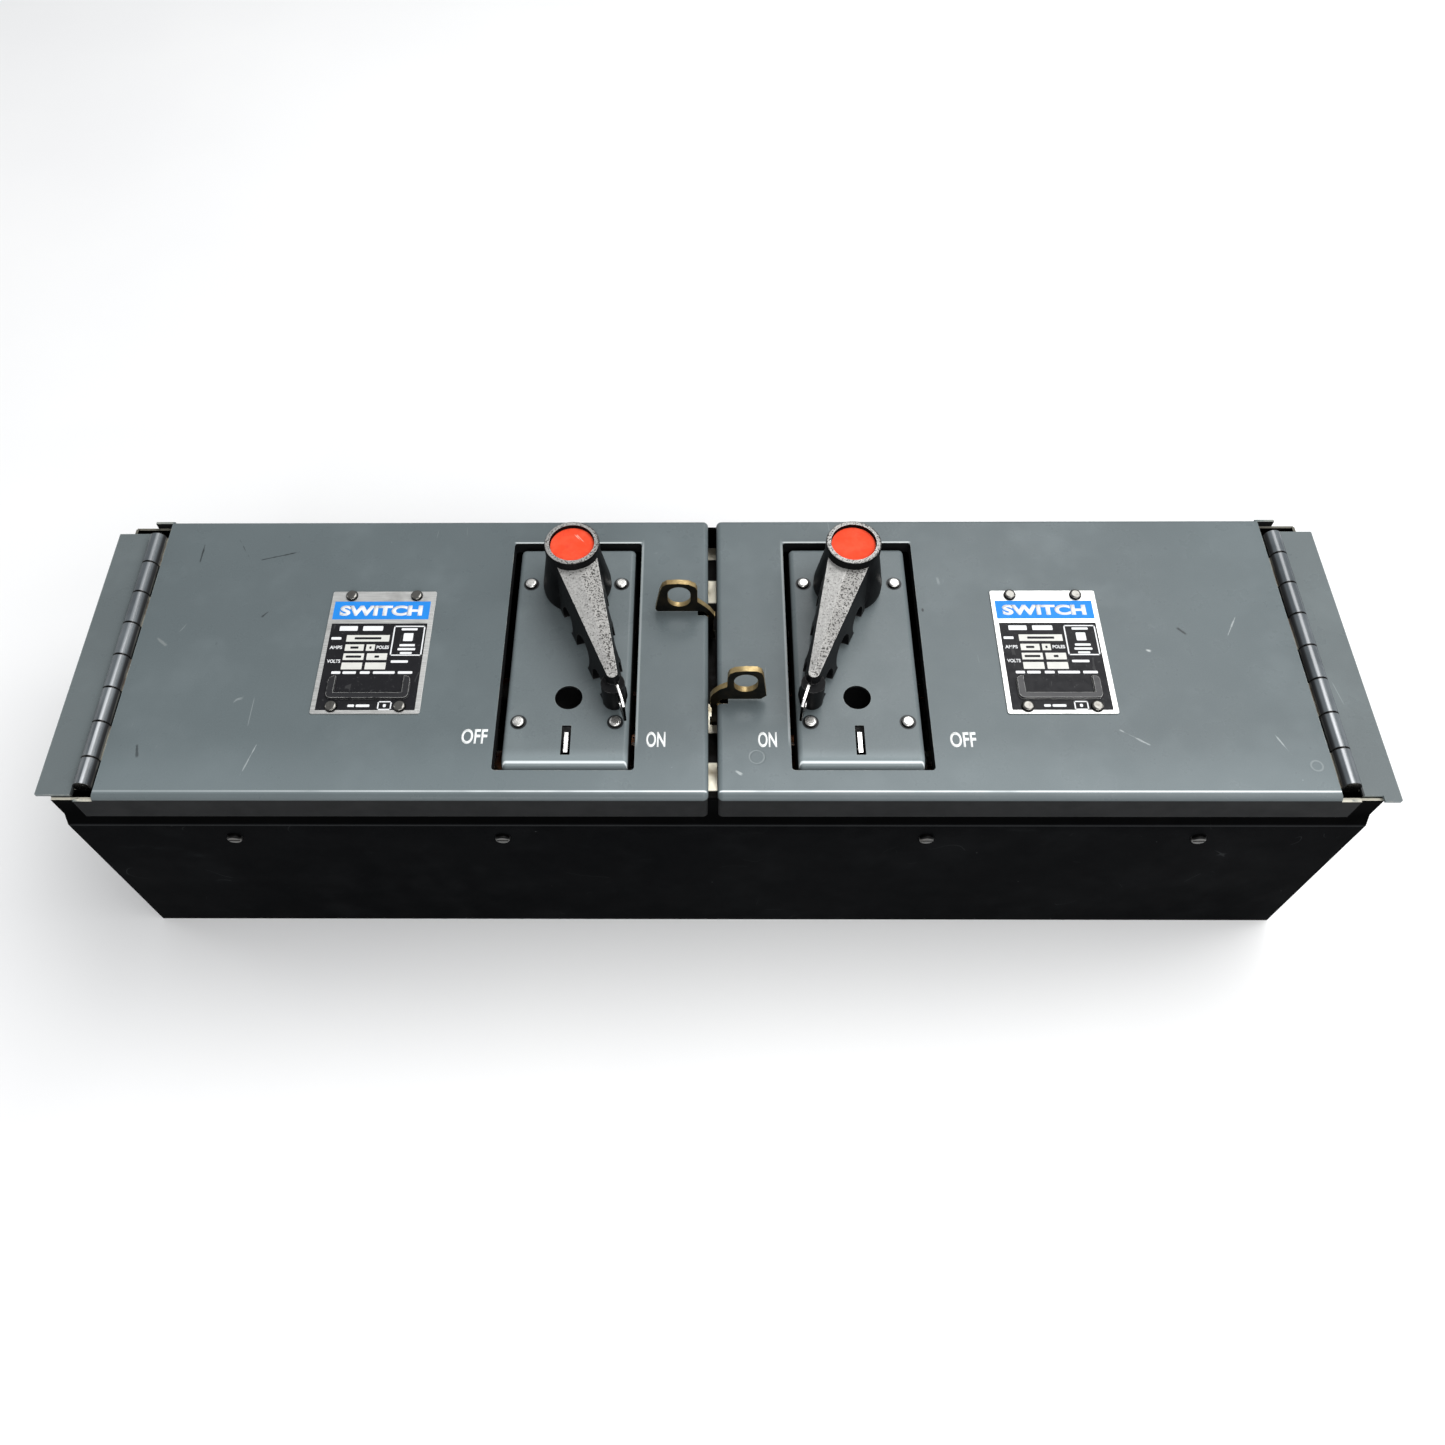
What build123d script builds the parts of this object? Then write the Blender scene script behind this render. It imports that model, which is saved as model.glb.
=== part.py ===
"""Twin fusible switch unit for a panelboard, lying on its back with its front up.

X runs along the length, Y up the panel, Z out of the front. The origin is the middle of the back.
Two mirrored three-pole switches share one long box: the stab jaws are in the middle, and each half
has a rotary switch, three knife-blade fuses, three cable lugs and a hinged door. The right half is
modelled, and save_pair mirrors it to make the left one.
"""
from math import cos, radians, sin
import os

from build123d import *

# Enclosure
LENGTH = 708.0
HEIGHT = 190.0
FLANGE_Z = 158.0
DOOR_Z = 160.0
SHEET = 1.5
FIT = 0.05
BOX_X = 346.0
WALL_Y = HEIGHT / 2
JOG = 3.2
JOG_LOW_Z = 133.0
JOG_HIGH_Z = 139.3
WALL_TOP_Z = 155.5
FOOT = 15.0
CABLE_OUTLET = (140.0, 78.0)
CABLE_OUTLET_Z = 66.0
FLANGE_NEAR_Y = -90.2
FLANGE_FAR_Y = 85.5
FLANGE_STEP = (345.0, -93.6)
MOUNT_SPACING = (640.0, 120.0)
MOUNT_HOLE_R = 3.5
KEEPER_HALF = 9.0
KEEPER_LOW_Z = 122.0
KEEPER_TOP_Z = 138.0

# Piano hinges
HINGE_X = 329.3
HINGE_Z = 159.15
KNUCKLE_R = 4.8
HINGE_PIN_R = 2.5
LEAF = 2.0
HINGE_NEAR_Y = -86.3
KNUCKLES = 8
KNUCKLE_PITCH = 21.75
SHORT_KNUCKLE = 16.4
KNUCKLE_GAP = 0.6
HINGE_FAR_Y = HINGE_NEAR_Y + (KNUCKLES - 1) * KNUCKLE_PITCH + SHORT_KNUCKLE

# Doors
DOOR_IN_X = 2.4
DOOR_OUT_X = 323.0
DOOR_Y = 93.5
DOOR_DEPTH = 20.0
DOOR_BEND_R = 4.0
EAR_X = 333.4
EAR_TOP_Z = (157.0, 159.5)
WINDOW = (75.0, 152.3)
WINDOW_AT = (78.8, -0.35)
WINDOW_RIM = 8.0
TEXT_PLATE = (59.5, 82.3)
TEXT_PLATE_AT = (187.8, -1.15)
TEXT_PLATE_T = 0.8
POCKET = (45.0, 14.3)
POCKET_Y = -25.9
POCKET_LIP = 2.3
TEXT_RIVETS_DX = 18.6
TEXT_RIVETS_Y = (36.7, -37.9)
RIVET_R = 3.5
RIVET_RISE = 1.9
SHANK_R = 1.6

# Latches: a finger eye outside the door, a neck through a notch, and a nose at the keeper
LATCH_Y = {"left": 26.0, "right": -33.0}
LATCH_T = 3.2
LATCH_TRAVEL = 5.0
NECK_X = (-0.6, 3.0)
NOSE_Z = 132.0
BAR_Z = (148.0, 154.0)
BAR_END_X = 30.0
# outlines above the bar, from the inner edge of the neck round the finger eye and back to the neck
RIGHT_OUTLINE = (
    (-1.5, 157.5), (-1.3, 165.0), (0.4, 168.6), (3.6, 172.6), (7.6, 175.2), (7.9, 184.5), (8.9, 187.6),
    (11.6, 189.6), (17.2, 190.3), (23.0, 190.1), (25.6, 188.2), (26.7, 184.5), (28.8, 166.5),
    (25.9, 163.3), (7.6, 163.3), (5.2, 163.0), (3.4, 161.3), (2.2, 158.0),
)
LEFT_OUTLINE = (
    (-1.5, 157.5), (1.2, 162.8), (4.0, 166.6), (8.4, 171.2), (8.4, 181.5), (9.4, 184.4), (13.0, 187.0),
    (19.1, 187.7), (25.2, 187.2), (27.8, 185.0), (29.4, 179.9), (32.2, 164.8), (31.4, 162.6),
    (8.7, 162.6), (5.2, 162.3), (3.5, 160.8), (2.2, 158.0),
)
RIGHT_EYE = (17.45, 178.75, 16.3, 12.6)
LEFT_EYE = (18.6, 175.8, 17.5, 12.6)
GUIDE_X = (15.5, 28.0)

# Escutcheon and rotary handle
PLATE = (67.0, 147.0)
PLATE_AT = (78.3, -1.5)
PLATE_TOP_Z = 159.6
NEAR_BEND_R = 8.0
FRAME_TOP_Z = 140.0
PLATE_RIVETS_Y = (46.0, -47.0)
PLATE_RIVETS_DX = 26.0
HANDLE_AT = (77.0, 42.7)
HALF_SWING = 17.8
BOSS_TOP_Z = 201.0
BOSS_TOP_R = 15.15
BOSS_BASE_R = 19.3
HANDLE_LOW_Z = 163.0
DISC_R = 12.2
DISC_DEPTH = 2.2
ARM_TIP = 78.6
ARM_TIP_R = 2.9
ARM_TIP_LOW_R = 7.0
ARM_TIP_TOP_Z = 185.3
NOSE_AT = (81.5, 0.8)
NOSE_R = 6.4
NOSE_TOP_Z = 180.0
SCALLOPS = ((25.5, 7.5), (48.5, 9.5), (70.0, 7.0))
LOCK_TAB_Y = -1.1
LOCK_TAB_T = 1.5
SHAFT_R = 7.0
VIEW_HOLE_AT = (78.2, -31.3)
VIEW_HOLE_R = 7.5
LEVER_SLOT = (5.0, 18.0)
LEVER_SLOT_AT = (78.2, -58.0)
LEVER = (2.2, 12.4)
LEVER_Y = -58.8

# Switch mechanism: a crank pin in a cross slot drives the contact carriage along two rods
CRANK_R = 36.0
CRANK_Z = (118.0, 124.0)
CRANK_PIN_R = 4.0
CRANK_PIN_LOW_Z = 82.0
PIN_SLOT = (8.4, 13.0)
CARRIAGE_Z = (74.0, 92.0)
CARRIAGE_HALF_X = 10.0
CARRIAGE_HALF_Y = 72.0
ROD_R = 3.0
ROD_Y = 66.0
ROD_Z = 83.0

# Current path
POLE_PITCH = 56.0
POLES = (-POLE_PITCH, 0.0, POLE_PITCH)
PHASE_X = (24.0, 0.0, -24.0)
BASE_TOP_Z = 30.0
STRAP = 3.0
STRAP_TOP_Z = BASE_TOP_Z + STRAP
BLADE_T = 3.2
BLADE_X = (47.5, 113.0)
BLADE_Z = (42.0, 60.0)
LINE_JAW_X = (47.0, 57.0)
LOAD_JAW_X = (101.0, 111.0)
JAW_LEAF = 2.2
JAW_GAP = BLADE_T + 0.2
STAB_GAP = 6.6
FUSE_AT_X = 217.0
FUSE_Z = 55.0
FUSE_LENGTH = 149.0
FUSE_TUBE_LENGTH = 98.0
FUSE_TUBE_R = 13.5
FUSE_BLADE_W = 19.0
FUSE_CLIP_X = (153.0, 281.0)
FUSE_CLIP_W = 14.0
LUG = (20.0, 20.0, 24.0)
LUG_X = 303.0
LUG_BORE_R = 6.5
LUG_BORE_Z = 45.0
LUG_SCREW_R = 4.5

# Side-wall screws
WALL_SCREW_X = (-260.8, -114.3, 115.8, 262.5)
WALL_SCREW_Z = 118.5
SCREW_HEAD_R = 4.0
SCREW_HEAD_H = 2.4

ARM_DIRECTION = (-sin(radians(HALF_SWING)), -cos(radians(HALF_SWING)), 0.0)
CRANK_X = HANDLE_AT[0] + CRANK_R * ARM_DIRECTION[0]
CRANK_MID_Y = HANDLE_AT[1] - CRANK_R * (1 + cos(radians(HALF_SWING))) / 2
HANDLE_PLANE = Plane(origin=(*HANDLE_AT, 0), x_dir=ARM_DIRECTION, z_dir=(0, 0, 1))

ON_FLOOR = (Align.CENTER, Align.CENTER, Align.MIN)
HANGING = (Align.CENTER, Align.CENTER, Align.MAX)

os.makedirs("parts", exist_ok=True)


def save(piece, name):
    """Label one finished piece and write its STEP file."""
    piece.label = name
    export_step(piece, f"parts/{name}.step")


def save_pair(right_piece, name):
    """Write the right-hand piece and its mirror image on the left."""
    save(right_piece, "right_" + name)
    save(mirror(right_piece, about=Plane.YZ), "left_" + name)


def block(low, high, mode=Mode.ADD):
    """Add or cut a box between two corners."""
    size = [b - a for a, b in zip(low, high)]
    centre = tuple((a + b) / 2 for a, b in zip(low, high))
    with Locations(centre):
        Box(*size, mode=mode)


def arm_section(along, top_half, top_z, ridge, low_half):
    """Cross-section of the handle's arm, square to the arm, with a low ridge down its top."""
    origin = HANDLE_PLANE.from_local_coords((along, 0, 0))
    across = HANDLE_PLANE.y_dir
    with BuildSketch(Plane(origin=origin, x_dir=across, z_dir=ARM_DIRECTION)) as section:
        with BuildLine():
            Polyline(
                (-low_half, HANDLE_LOW_Z), (low_half, HANDLE_LOW_Z), (top_half, top_z),
                (0, top_z + ridge), (-top_half, top_z), close=True,
            )
        make_face()
    return section.sketch


# ---------------------------------------------------------------- enclosure
with BuildPart() as back_plate:
    with BuildSketch():
        Rectangle(2 * (BOX_X - SHEET) - 0.2, HEIGHT - 2 * SHEET - 0.2)
        with GridLocations(*MOUNT_SPACING, 2, 2):
            Circle(MOUNT_HOLE_R, mode=Mode.SUBTRACT)
        with Locations(*zip(PHASE_X, POLES)):
            Rectangle(18, 24, mode=Mode.SUBTRACT)
    extrude(amount=SHEET)
save(back_plate.part, "back_plate")


def side_wall():
    """The far wall: the upper strip is joggled in so that the door's lip nests outside it."""
    inner_y = WALL_Y - SHEET
    with BuildPart() as wall:
        with BuildSketch(Plane.YZ):
            with BuildLine():
                Polyline(
                    (inner_y, 0), (WALL_Y, 0), (WALL_Y, JOG_LOW_Z), (WALL_Y - JOG, JOG_HIGH_Z),
                    (WALL_Y - JOG, WALL_TOP_Z), (inner_y - JOG, WALL_TOP_Z),
                    (inner_y - JOG, JOG_HIGH_Z + 0.4), (inner_y, JOG_LOW_Z + 0.4), close=True,
                )
            make_face()
        extrude(amount=BOX_X, both=True)
        foot_x = BOX_X - 6
        block((-foot_x, inner_y - FOOT, SHEET), (foot_x, inner_y + 0.2, 2 * SHEET))
        with Locations(*[(x, WALL_Y, WALL_SCREW_Z) for x in WALL_SCREW_X]):
            Cylinder(2.05, 8, rotation=(90, 0, 0), mode=Mode.SUBTRACT)
    return wall.part


upper_wall = side_wall()
save(upper_wall, "upper_side_wall")
save(mirror(upper_wall, about=Plane.XZ), "lower_side_wall")

with BuildPart() as end_wall:
    wide = WALL_Y - SHEET - 0.1
    narrow = wide - JOG
    with BuildSketch(Plane.YZ.offset(BOX_X - SHEET)):
        with BuildLine():
            Polyline(
                (-wide, 0), (wide, 0), (wide, JOG_LOW_Z - 0.5), (narrow, JOG_HIGH_Z - 0.1),
                (narrow, FLANGE_Z - SHEET), (-narrow, FLANGE_Z - SHEET), (-narrow, JOG_HIGH_Z - 0.1),
                (-wide, JOG_LOW_Z - 0.5), close=True,
            )
        make_face()
        with Locations((0, CABLE_OUTLET_Z)):
            RectangleRounded(*CABLE_OUTLET, 10, mode=Mode.SUBTRACT)
    extrude(amount=SHEET)
save_pair(end_wall.part, "end_wall")

with BuildPart() as end_flange:
    flange_in_x = HINGE_X + KNUCKLE_R + 0.45
    block((flange_in_x, FLANGE_NEAR_Y, FLANGE_Z - SHEET), (LENGTH / 2, FLANGE_FAR_Y, FLANGE_Z))
    fillet(end_flange.edges().filter_by(Axis.Z).group_by(Axis.X)[-1], 0.6)
save(mirror(end_flange.part, about=Plane.YZ), "left_end_flange")

with BuildPart() as stepped_flange:
    add(end_flange.part)
    block((FLANGE_STEP[0], FLANGE_STEP[1], FLANGE_Z - SHEET), (LENGTH / 2, FLANGE_NEAR_Y + 3, FLANGE_Z))
    fillet(stepped_flange.edges().filter_by(Axis.Z).sort_by(Axis.Y)[:2].sort_by(Axis.X)[-1], 1.0)
save(stepped_flange.part, "right_end_flange")

with BuildPart() as wall_screws:
    with Locations(*[(x, WALL_Y, WALL_SCREW_Z) for x in WALL_SCREW_X]):
        with Locations(Location((0, 0, 0), (-90, 0, 0))):
            Cylinder(SCREW_HEAD_R, SCREW_HEAD_H, align=ON_FLOOR)
            Cylinder(2.0, 7, align=HANGING)
    fillet(wall_screws.edges().group_by(Axis.Y)[-1], 1.2)
    with Locations(*[(x, WALL_Y + SCREW_HEAD_H, WALL_SCREW_Z) for x in WALL_SCREW_X]):
        Box(6.4, 2.0, 1.0, mode=Mode.SUBTRACT)
    mirror(about=Plane.XZ)
save(wall_screws.part, "wall_screws")

# the keeper bar closes the middle of the box under the gap between the doors
with BuildPart() as keeper_bar:
    keeper_y = WALL_Y - SHEET - JOG - 0.1
    block((-KEEPER_HALF, -keeper_y, KEEPER_LOW_Z), (KEEPER_HALF, keeper_y, KEEPER_TOP_Z))
    inner = KEEPER_HALF - SHEET
    block((-inner, -keeper_y, KEEPER_LOW_Z), (inner, keeper_y, KEEPER_TOP_Z - SHEET), Mode.SUBTRACT)
    for side, sign in (("left", -1), ("right", 1)):
        y = LATCH_Y[side]
        near_x, far_x = sorted((-1.5 * sign, (KEEPER_HALF + 1) * sign))
        block((near_x, y - 2.8, NOSE_Z - 1), (far_x, y + 2.8, KEEPER_TOP_Z + 1), Mode.SUBTRACT)
save(keeper_bar.part, "keeper_bar")


# ---------------------------------------------------------------- hinges
def knuckle_edges(short_first):
    """The heights where one knuckle ends and the next begins; one end knuckle is shorter."""
    lengths = [KNUCKLE_PITCH] * (KNUCKLES - 1)
    lengths.insert(0 if short_first else KNUCKLES, SHORT_KNUCKLE)
    return [HINGE_NEAR_Y + sum(lengths[:count]) for count in range(KNUCKLES + 1)]


def knuckles(edges, first, leaf_x, web_x, leaf_top_z):
    """One hinge leaf: every second knuckle from first, on a flat leaf from leaf_x[0] to leaf_x[1]."""
    with BuildPart() as leaf:
        block((leaf_x[0], edges[0], leaf_top_z - LEAF), (leaf_x[1], edges[-1] - KNUCKLE_GAP, leaf_top_z))
        for low_y, next_y in list(zip(edges, edges[1:]))[first::2]:
            high_y = next_y - KNUCKLE_GAP
            block((web_x[0], low_y, leaf_top_z - LEAF), (web_x[1], high_y, leaf_top_z))
            with Locations((HINGE_X, (low_y + high_y) / 2, HINGE_Z)):
                Cylinder(KNUCKLE_R, high_y - low_y, rotation=(90, 0, 0))
        with Locations((HINGE_X, 0, HINGE_Z)):
            Cylinder(HINGE_PIN_R + FIT, HEIGHT, rotation=(90, 0, 0), mode=Mode.SUBTRACT)
    return leaf.part


LEAF_CLEAR = KNUCKLE_R + 0.65
FRAME_LEAF_TOP = FLANGE_Z - SHEET
DOOR_LEAF_TOP = DOOR_Z - SHEET
FRAME_LEAF_X = (HINGE_X + LEAF_CLEAR, 343.0)
FRAME_WEB_X = (HINGE_X, HINGE_X + LEAF_CLEAR + 1)
DOOR_LEAF_X = (300.0, DOOR_OUT_X - 0.4)
DOOR_WEB_X = (DOOR_OUT_X - 1.4, HINGE_X)
# the right-hand hinge is the left-hand one turned end for end
for side, short_first, frame_first, door_first in (("right", False, 1, 0), ("left", True, 0, 1)):
    edges = knuckle_edges(short_first)
    frame_leaf = knuckles(edges, frame_first, FRAME_LEAF_X, FRAME_WEB_X, FRAME_LEAF_TOP)
    door_leaf = knuckles(edges, door_first, DOOR_LEAF_X, DOOR_WEB_X, DOOR_LEAF_TOP)
    if side == "left":
        frame_leaf = mirror(frame_leaf, about=Plane.YZ)
        door_leaf = mirror(door_leaf, about=Plane.YZ)
    save(frame_leaf, side + "_hinge_frame_leaf")
    save(door_leaf, side + "_hinge_door_leaf")

with BuildPart() as hinge_pin:
    pin_length = HINGE_FAR_Y - HINGE_NEAR_Y - KNUCKLE_GAP
    with Locations((HINGE_X, HINGE_NEAR_Y + pin_length / 2, HINGE_Z)):
        Cylinder(HINGE_PIN_R, pin_length, rotation=(90, 0, 0))
save_pair(hinge_pin.part, "hinge_pin")


# ---------------------------------------------------------------- doors
text_rivets = [(TEXT_PLATE_AT[0] + s * TEXT_RIVETS_DX, y) for s in (-1, 1) for y in TEXT_RIVETS_Y]


def door(latch_y):
    """The right door: a drawn pan, open at the hinge end, with a rimmed window and a latch notch."""
    low_z = DOOR_Z - DOOR_DEPTH
    with BuildPart() as hollow:
        block(
            (DOOR_IN_X + SHEET, SHEET - DOOR_Y, low_z - 1),
            (DOOR_OUT_X + 1, DOOR_Y - SHEET, DOOR_Z - SHEET),
        )
        fillet(hollow.edges().filter_by(Axis.Z).group_by(Axis.X)[0], 1.5)
        under = hollow.faces().sort_by(Axis.Z)[-1]
        fillet(under.edges().sort_by(Axis.X)[:-1], 1.3)
    with BuildPart() as pan:
        block((DOOR_IN_X, -DOOR_Y, low_z), (DOOR_OUT_X, DOOR_Y, DOOR_Z))
        fillet(pan.edges().filter_by(Axis.Z).group_by(Axis.X)[0], 3)
        top = pan.faces().sort_by(Axis.Z)[-1]
        fillet(top.edges().sort_by(Axis.X)[:-1], DOOR_BEND_R - 1.2)
        add(hollow.part, mode=Mode.SUBTRACT)
        for y, top_z in zip((-DOOR_Y, DOOR_Y - SHEET), EAR_TOP_Z):
            block((DOOR_OUT_X - 1, y, low_z), (EAR_X, y + SHEET, top_z))
        # slits where the inner lip passes over the tops of the side walls
        for sign in (-1, 1):
            low_y, high_y = sorted((sign * (DOOR_Y - SHEET), sign * (DOOR_Y - 2.4 * SHEET)))
            block((0, low_y, low_z - 1), (DOOR_IN_X + 2 * SHEET, high_y, WALL_TOP_Z + 1), Mode.SUBTRACT)
        with BuildSketch(Plane.XY.offset(DOOR_Z - WINDOW_RIM)):
            with Locations(WINDOW_AT):
                RectangleRounded(WINDOW[0] + 2 * SHEET, WINDOW[1] + 2 * SHEET, 3.5)
        extrude(amount=WINDOW_RIM - SHEET / 2)
        with BuildSketch(Plane.XY.offset(DOOR_Z - WINDOW_RIM)):
            with Locations(WINDOW_AT):
                RectangleRounded(*WINDOW, 2)
        extrude(amount=WINDOW_RIM + 1, mode=Mode.SUBTRACT)
        notch_end = NECK_X[1] + LATCH_TRAVEL + 0.4
        block((0, latch_y - 2.6, low_z - 1), (notch_end, latch_y + 2.6, DOOR_Z + 1), Mode.SUBTRACT)
        with Locations(*[(x, y, DOOR_Z) for x, y in text_rivets]):
            Cylinder(SHANK_R + FIT, 10, mode=Mode.SUBTRACT)
    return pan.part


save(door(LATCH_Y["right"]), "right_door")
save(mirror(door(LATCH_Y["left"]), about=Plane.YZ), "left_door")


def dome_rivets(places, z, shank):
    """Round-headed rivets standing on height z, each with a shank going down through its hole."""
    with BuildPart() as rivets:
        with Locations(*[(x, y, z) for x, y in places]):
            Cylinder(RIVET_R, RIVET_RISE, align=ON_FLOOR)
            Cylinder(SHANK_R, shank, align=HANGING)
        fillet(rivets.edges().group_by(Axis.Z)[-1], RIVET_RISE - 0.3)
    return rivets.part


plate_rivets = [(PLATE_AT[0] + s * PLATE_RIVETS_DX, y) for s in (-1, 1) for y in PLATE_RIVETS_Y]

with BuildPart() as nameplate:
    with BuildSketch(Plane.XY.offset(DOOR_Z)):
        with Locations(TEXT_PLATE_AT):
            RectangleRounded(*TEXT_PLATE, 1.2)
    extrude(amount=TEXT_PLATE_T)
    # raised pocket that holds a rating card
    with BuildSketch(Plane.XY.offset(DOOR_Z + TEXT_PLATE_T)):
        with Locations((TEXT_PLATE_AT[0], POCKET_Y)):
            RectangleRounded(*POCKET, 3)
        with Locations((TEXT_PLATE_AT[0], POCKET_Y + POCKET_LIP)):
            Rectangle(POCKET[0] - 7.6, POCKET[1] - POCKET_LIP, mode=Mode.SUBTRACT)
    extrude(amount=1.6)
    with Locations(*[(x, y, DOOR_Z) for x, y in text_rivets]):
        Cylinder(SHANK_R + FIT, 6, mode=Mode.SUBTRACT)
save_pair(nameplate.part, "nameplate")
save_pair(dome_rivets(text_rivets, DOOR_Z + TEXT_PLATE_T, SHEET + TEXT_PLATE_T + 0.7), "nameplate_rivets")


# ---------------------------------------------------------------- latches
def latch_pair(y, outline, eye):
    """The right latch and the guide that is welded under the door, both at height y."""
    neck_in, neck_out = NECK_X
    eye_x, eye_z, eye_long, eye_wide = eye
    low_y = y - LATCH_T / 2
    with BuildPart() as latch:
        with BuildSketch(Plane.XZ.offset(-low_y)):
            with BuildLine():
                Polyline(*outline, close=True)
            make_face()
            with BuildLine():
                Polyline(
                    (neck_in, NOSE_Z + 2), (neck_in + 1, NOSE_Z), (neck_out, NOSE_Z),
                    (neck_out, BAR_Z[0]), (BAR_END_X, BAR_Z[0]), (BAR_END_X, BAR_Z[1]),
                    (neck_out, BAR_Z[1]), (neck_out - 0.8, 158.2), (-1.5, 158.2),
                    (-1.5, BAR_Z[1] + 2), (neck_in, BAR_Z[1]), close=True,
                )
            make_face()
            with Locations((eye_x, eye_z)):
                SlotOverall(eye_long, eye_wide, rotation=90, mode=Mode.SUBTRACT)
        extrude(amount=-LATCH_T)
    with BuildPart() as guide:
        block((GUIDE_X[0], y - 6, BAR_Z[0] - 3), (GUIDE_X[1], y + 6, DOOR_Z - SHEET))
        block(
            (GUIDE_X[0] - 1, low_y - 0.15, BAR_Z[0] - 0.15),
            (GUIDE_X[1] + 1, low_y + LATCH_T + 0.15, BAR_Z[1] + 0.15), Mode.SUBTRACT,
        )
    return latch.part, guide.part


right_latch, right_guide = latch_pair(LATCH_Y["right"], RIGHT_OUTLINE, RIGHT_EYE)
left_latch, left_guide = latch_pair(LATCH_Y["left"], LEFT_OUTLINE, LEFT_EYE)
save(right_latch, "right_latch")
save(mirror(left_latch, about=Plane.YZ), "left_latch")
save(right_guide, "right_latch_guide")
save(mirror(left_guide, about=Plane.YZ), "left_latch_guide")


# ---------------------------------------------------------------- escutcheons and handles
def drawn_block(inset, corner):
    """A block with a wide bend along its near edge and small ones at its other edges."""
    near_y = PLATE_AT[1] - PLATE[1] / 2 + inset
    far_y = PLATE_AT[1] + PLATE[1] / 2 - inset
    top_z = PLATE_TOP_Z - inset
    bend = NEAR_BEND_R - inset
    with BuildPart() as drawn:
        with BuildSketch(Plane.YZ.offset(PLATE_AT[0] - PLATE[0] / 2 + inset)):
            with BuildLine():
                Line((near_y + bend, top_z), (far_y, top_z))
                Line((far_y, top_z), (far_y, FRAME_TOP_Z))
                Line((far_y, FRAME_TOP_Z), (near_y, FRAME_TOP_Z))
                Line((near_y, FRAME_TOP_Z), (near_y, top_z - bend))
                RadiusArc((near_y, top_z - bend), (near_y + bend, top_z), bend)
            make_face()
        extrude(amount=PLATE[0] - 2 * inset)
        far_top = drawn.edges().filter_by(Axis.X).sort_by(lambda edge: edge.center().Y + edge.center().Z)[-1]
        fillet(far_top, corner)
        ends = drawn.faces().filter_by(Axis.X).edges()
        fillet(ends.filter_by(lambda edge: edge.center().Z > FRAME_TOP_Z + 0.1), corner * 0.95)
    return drawn.part


with BuildPart() as cover_plate:
    add(drawn_block(0, 3.0))
    add(drawn_block(SHEET, 1.5), mode=Mode.SUBTRACT)
    with Locations((*HANDLE_AT, PLATE_TOP_Z)):
        Cylinder(SHAFT_R + 1.5, 10, mode=Mode.SUBTRACT)
    with Locations((*VIEW_HOLE_AT, PLATE_TOP_Z)):
        Cylinder(VIEW_HOLE_R, 10, mode=Mode.SUBTRACT)
    with Locations((*LEVER_SLOT_AT, PLATE_TOP_Z)):
        Box(*LEVER_SLOT, 10, mode=Mode.SUBTRACT)
    with Locations(*[(x, y, PLATE_TOP_Z) for x, y in plate_rivets]):
        Cylinder(SHANK_R + FIT, 10, mode=Mode.SUBTRACT)
save_pair(cover_plate.part, "cover_plate")

with BuildPart() as cover_plate_rivets:
    add(dome_rivets(plate_rivets, PLATE_TOP_Z, SHEET + 0.9))
    mirror(about=Plane.YZ)
save(cover_plate_rivets.part, "cover_plate_rivets")

arm_root = arm_section(6, 11.7, BOSS_TOP_Z - 4.8, 1.0, 14.6)
arm_end = arm_section(ARM_TIP, ARM_TIP_R, ARM_TIP_TOP_Z, 0.5, ARM_TIP_LOW_R)

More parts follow.
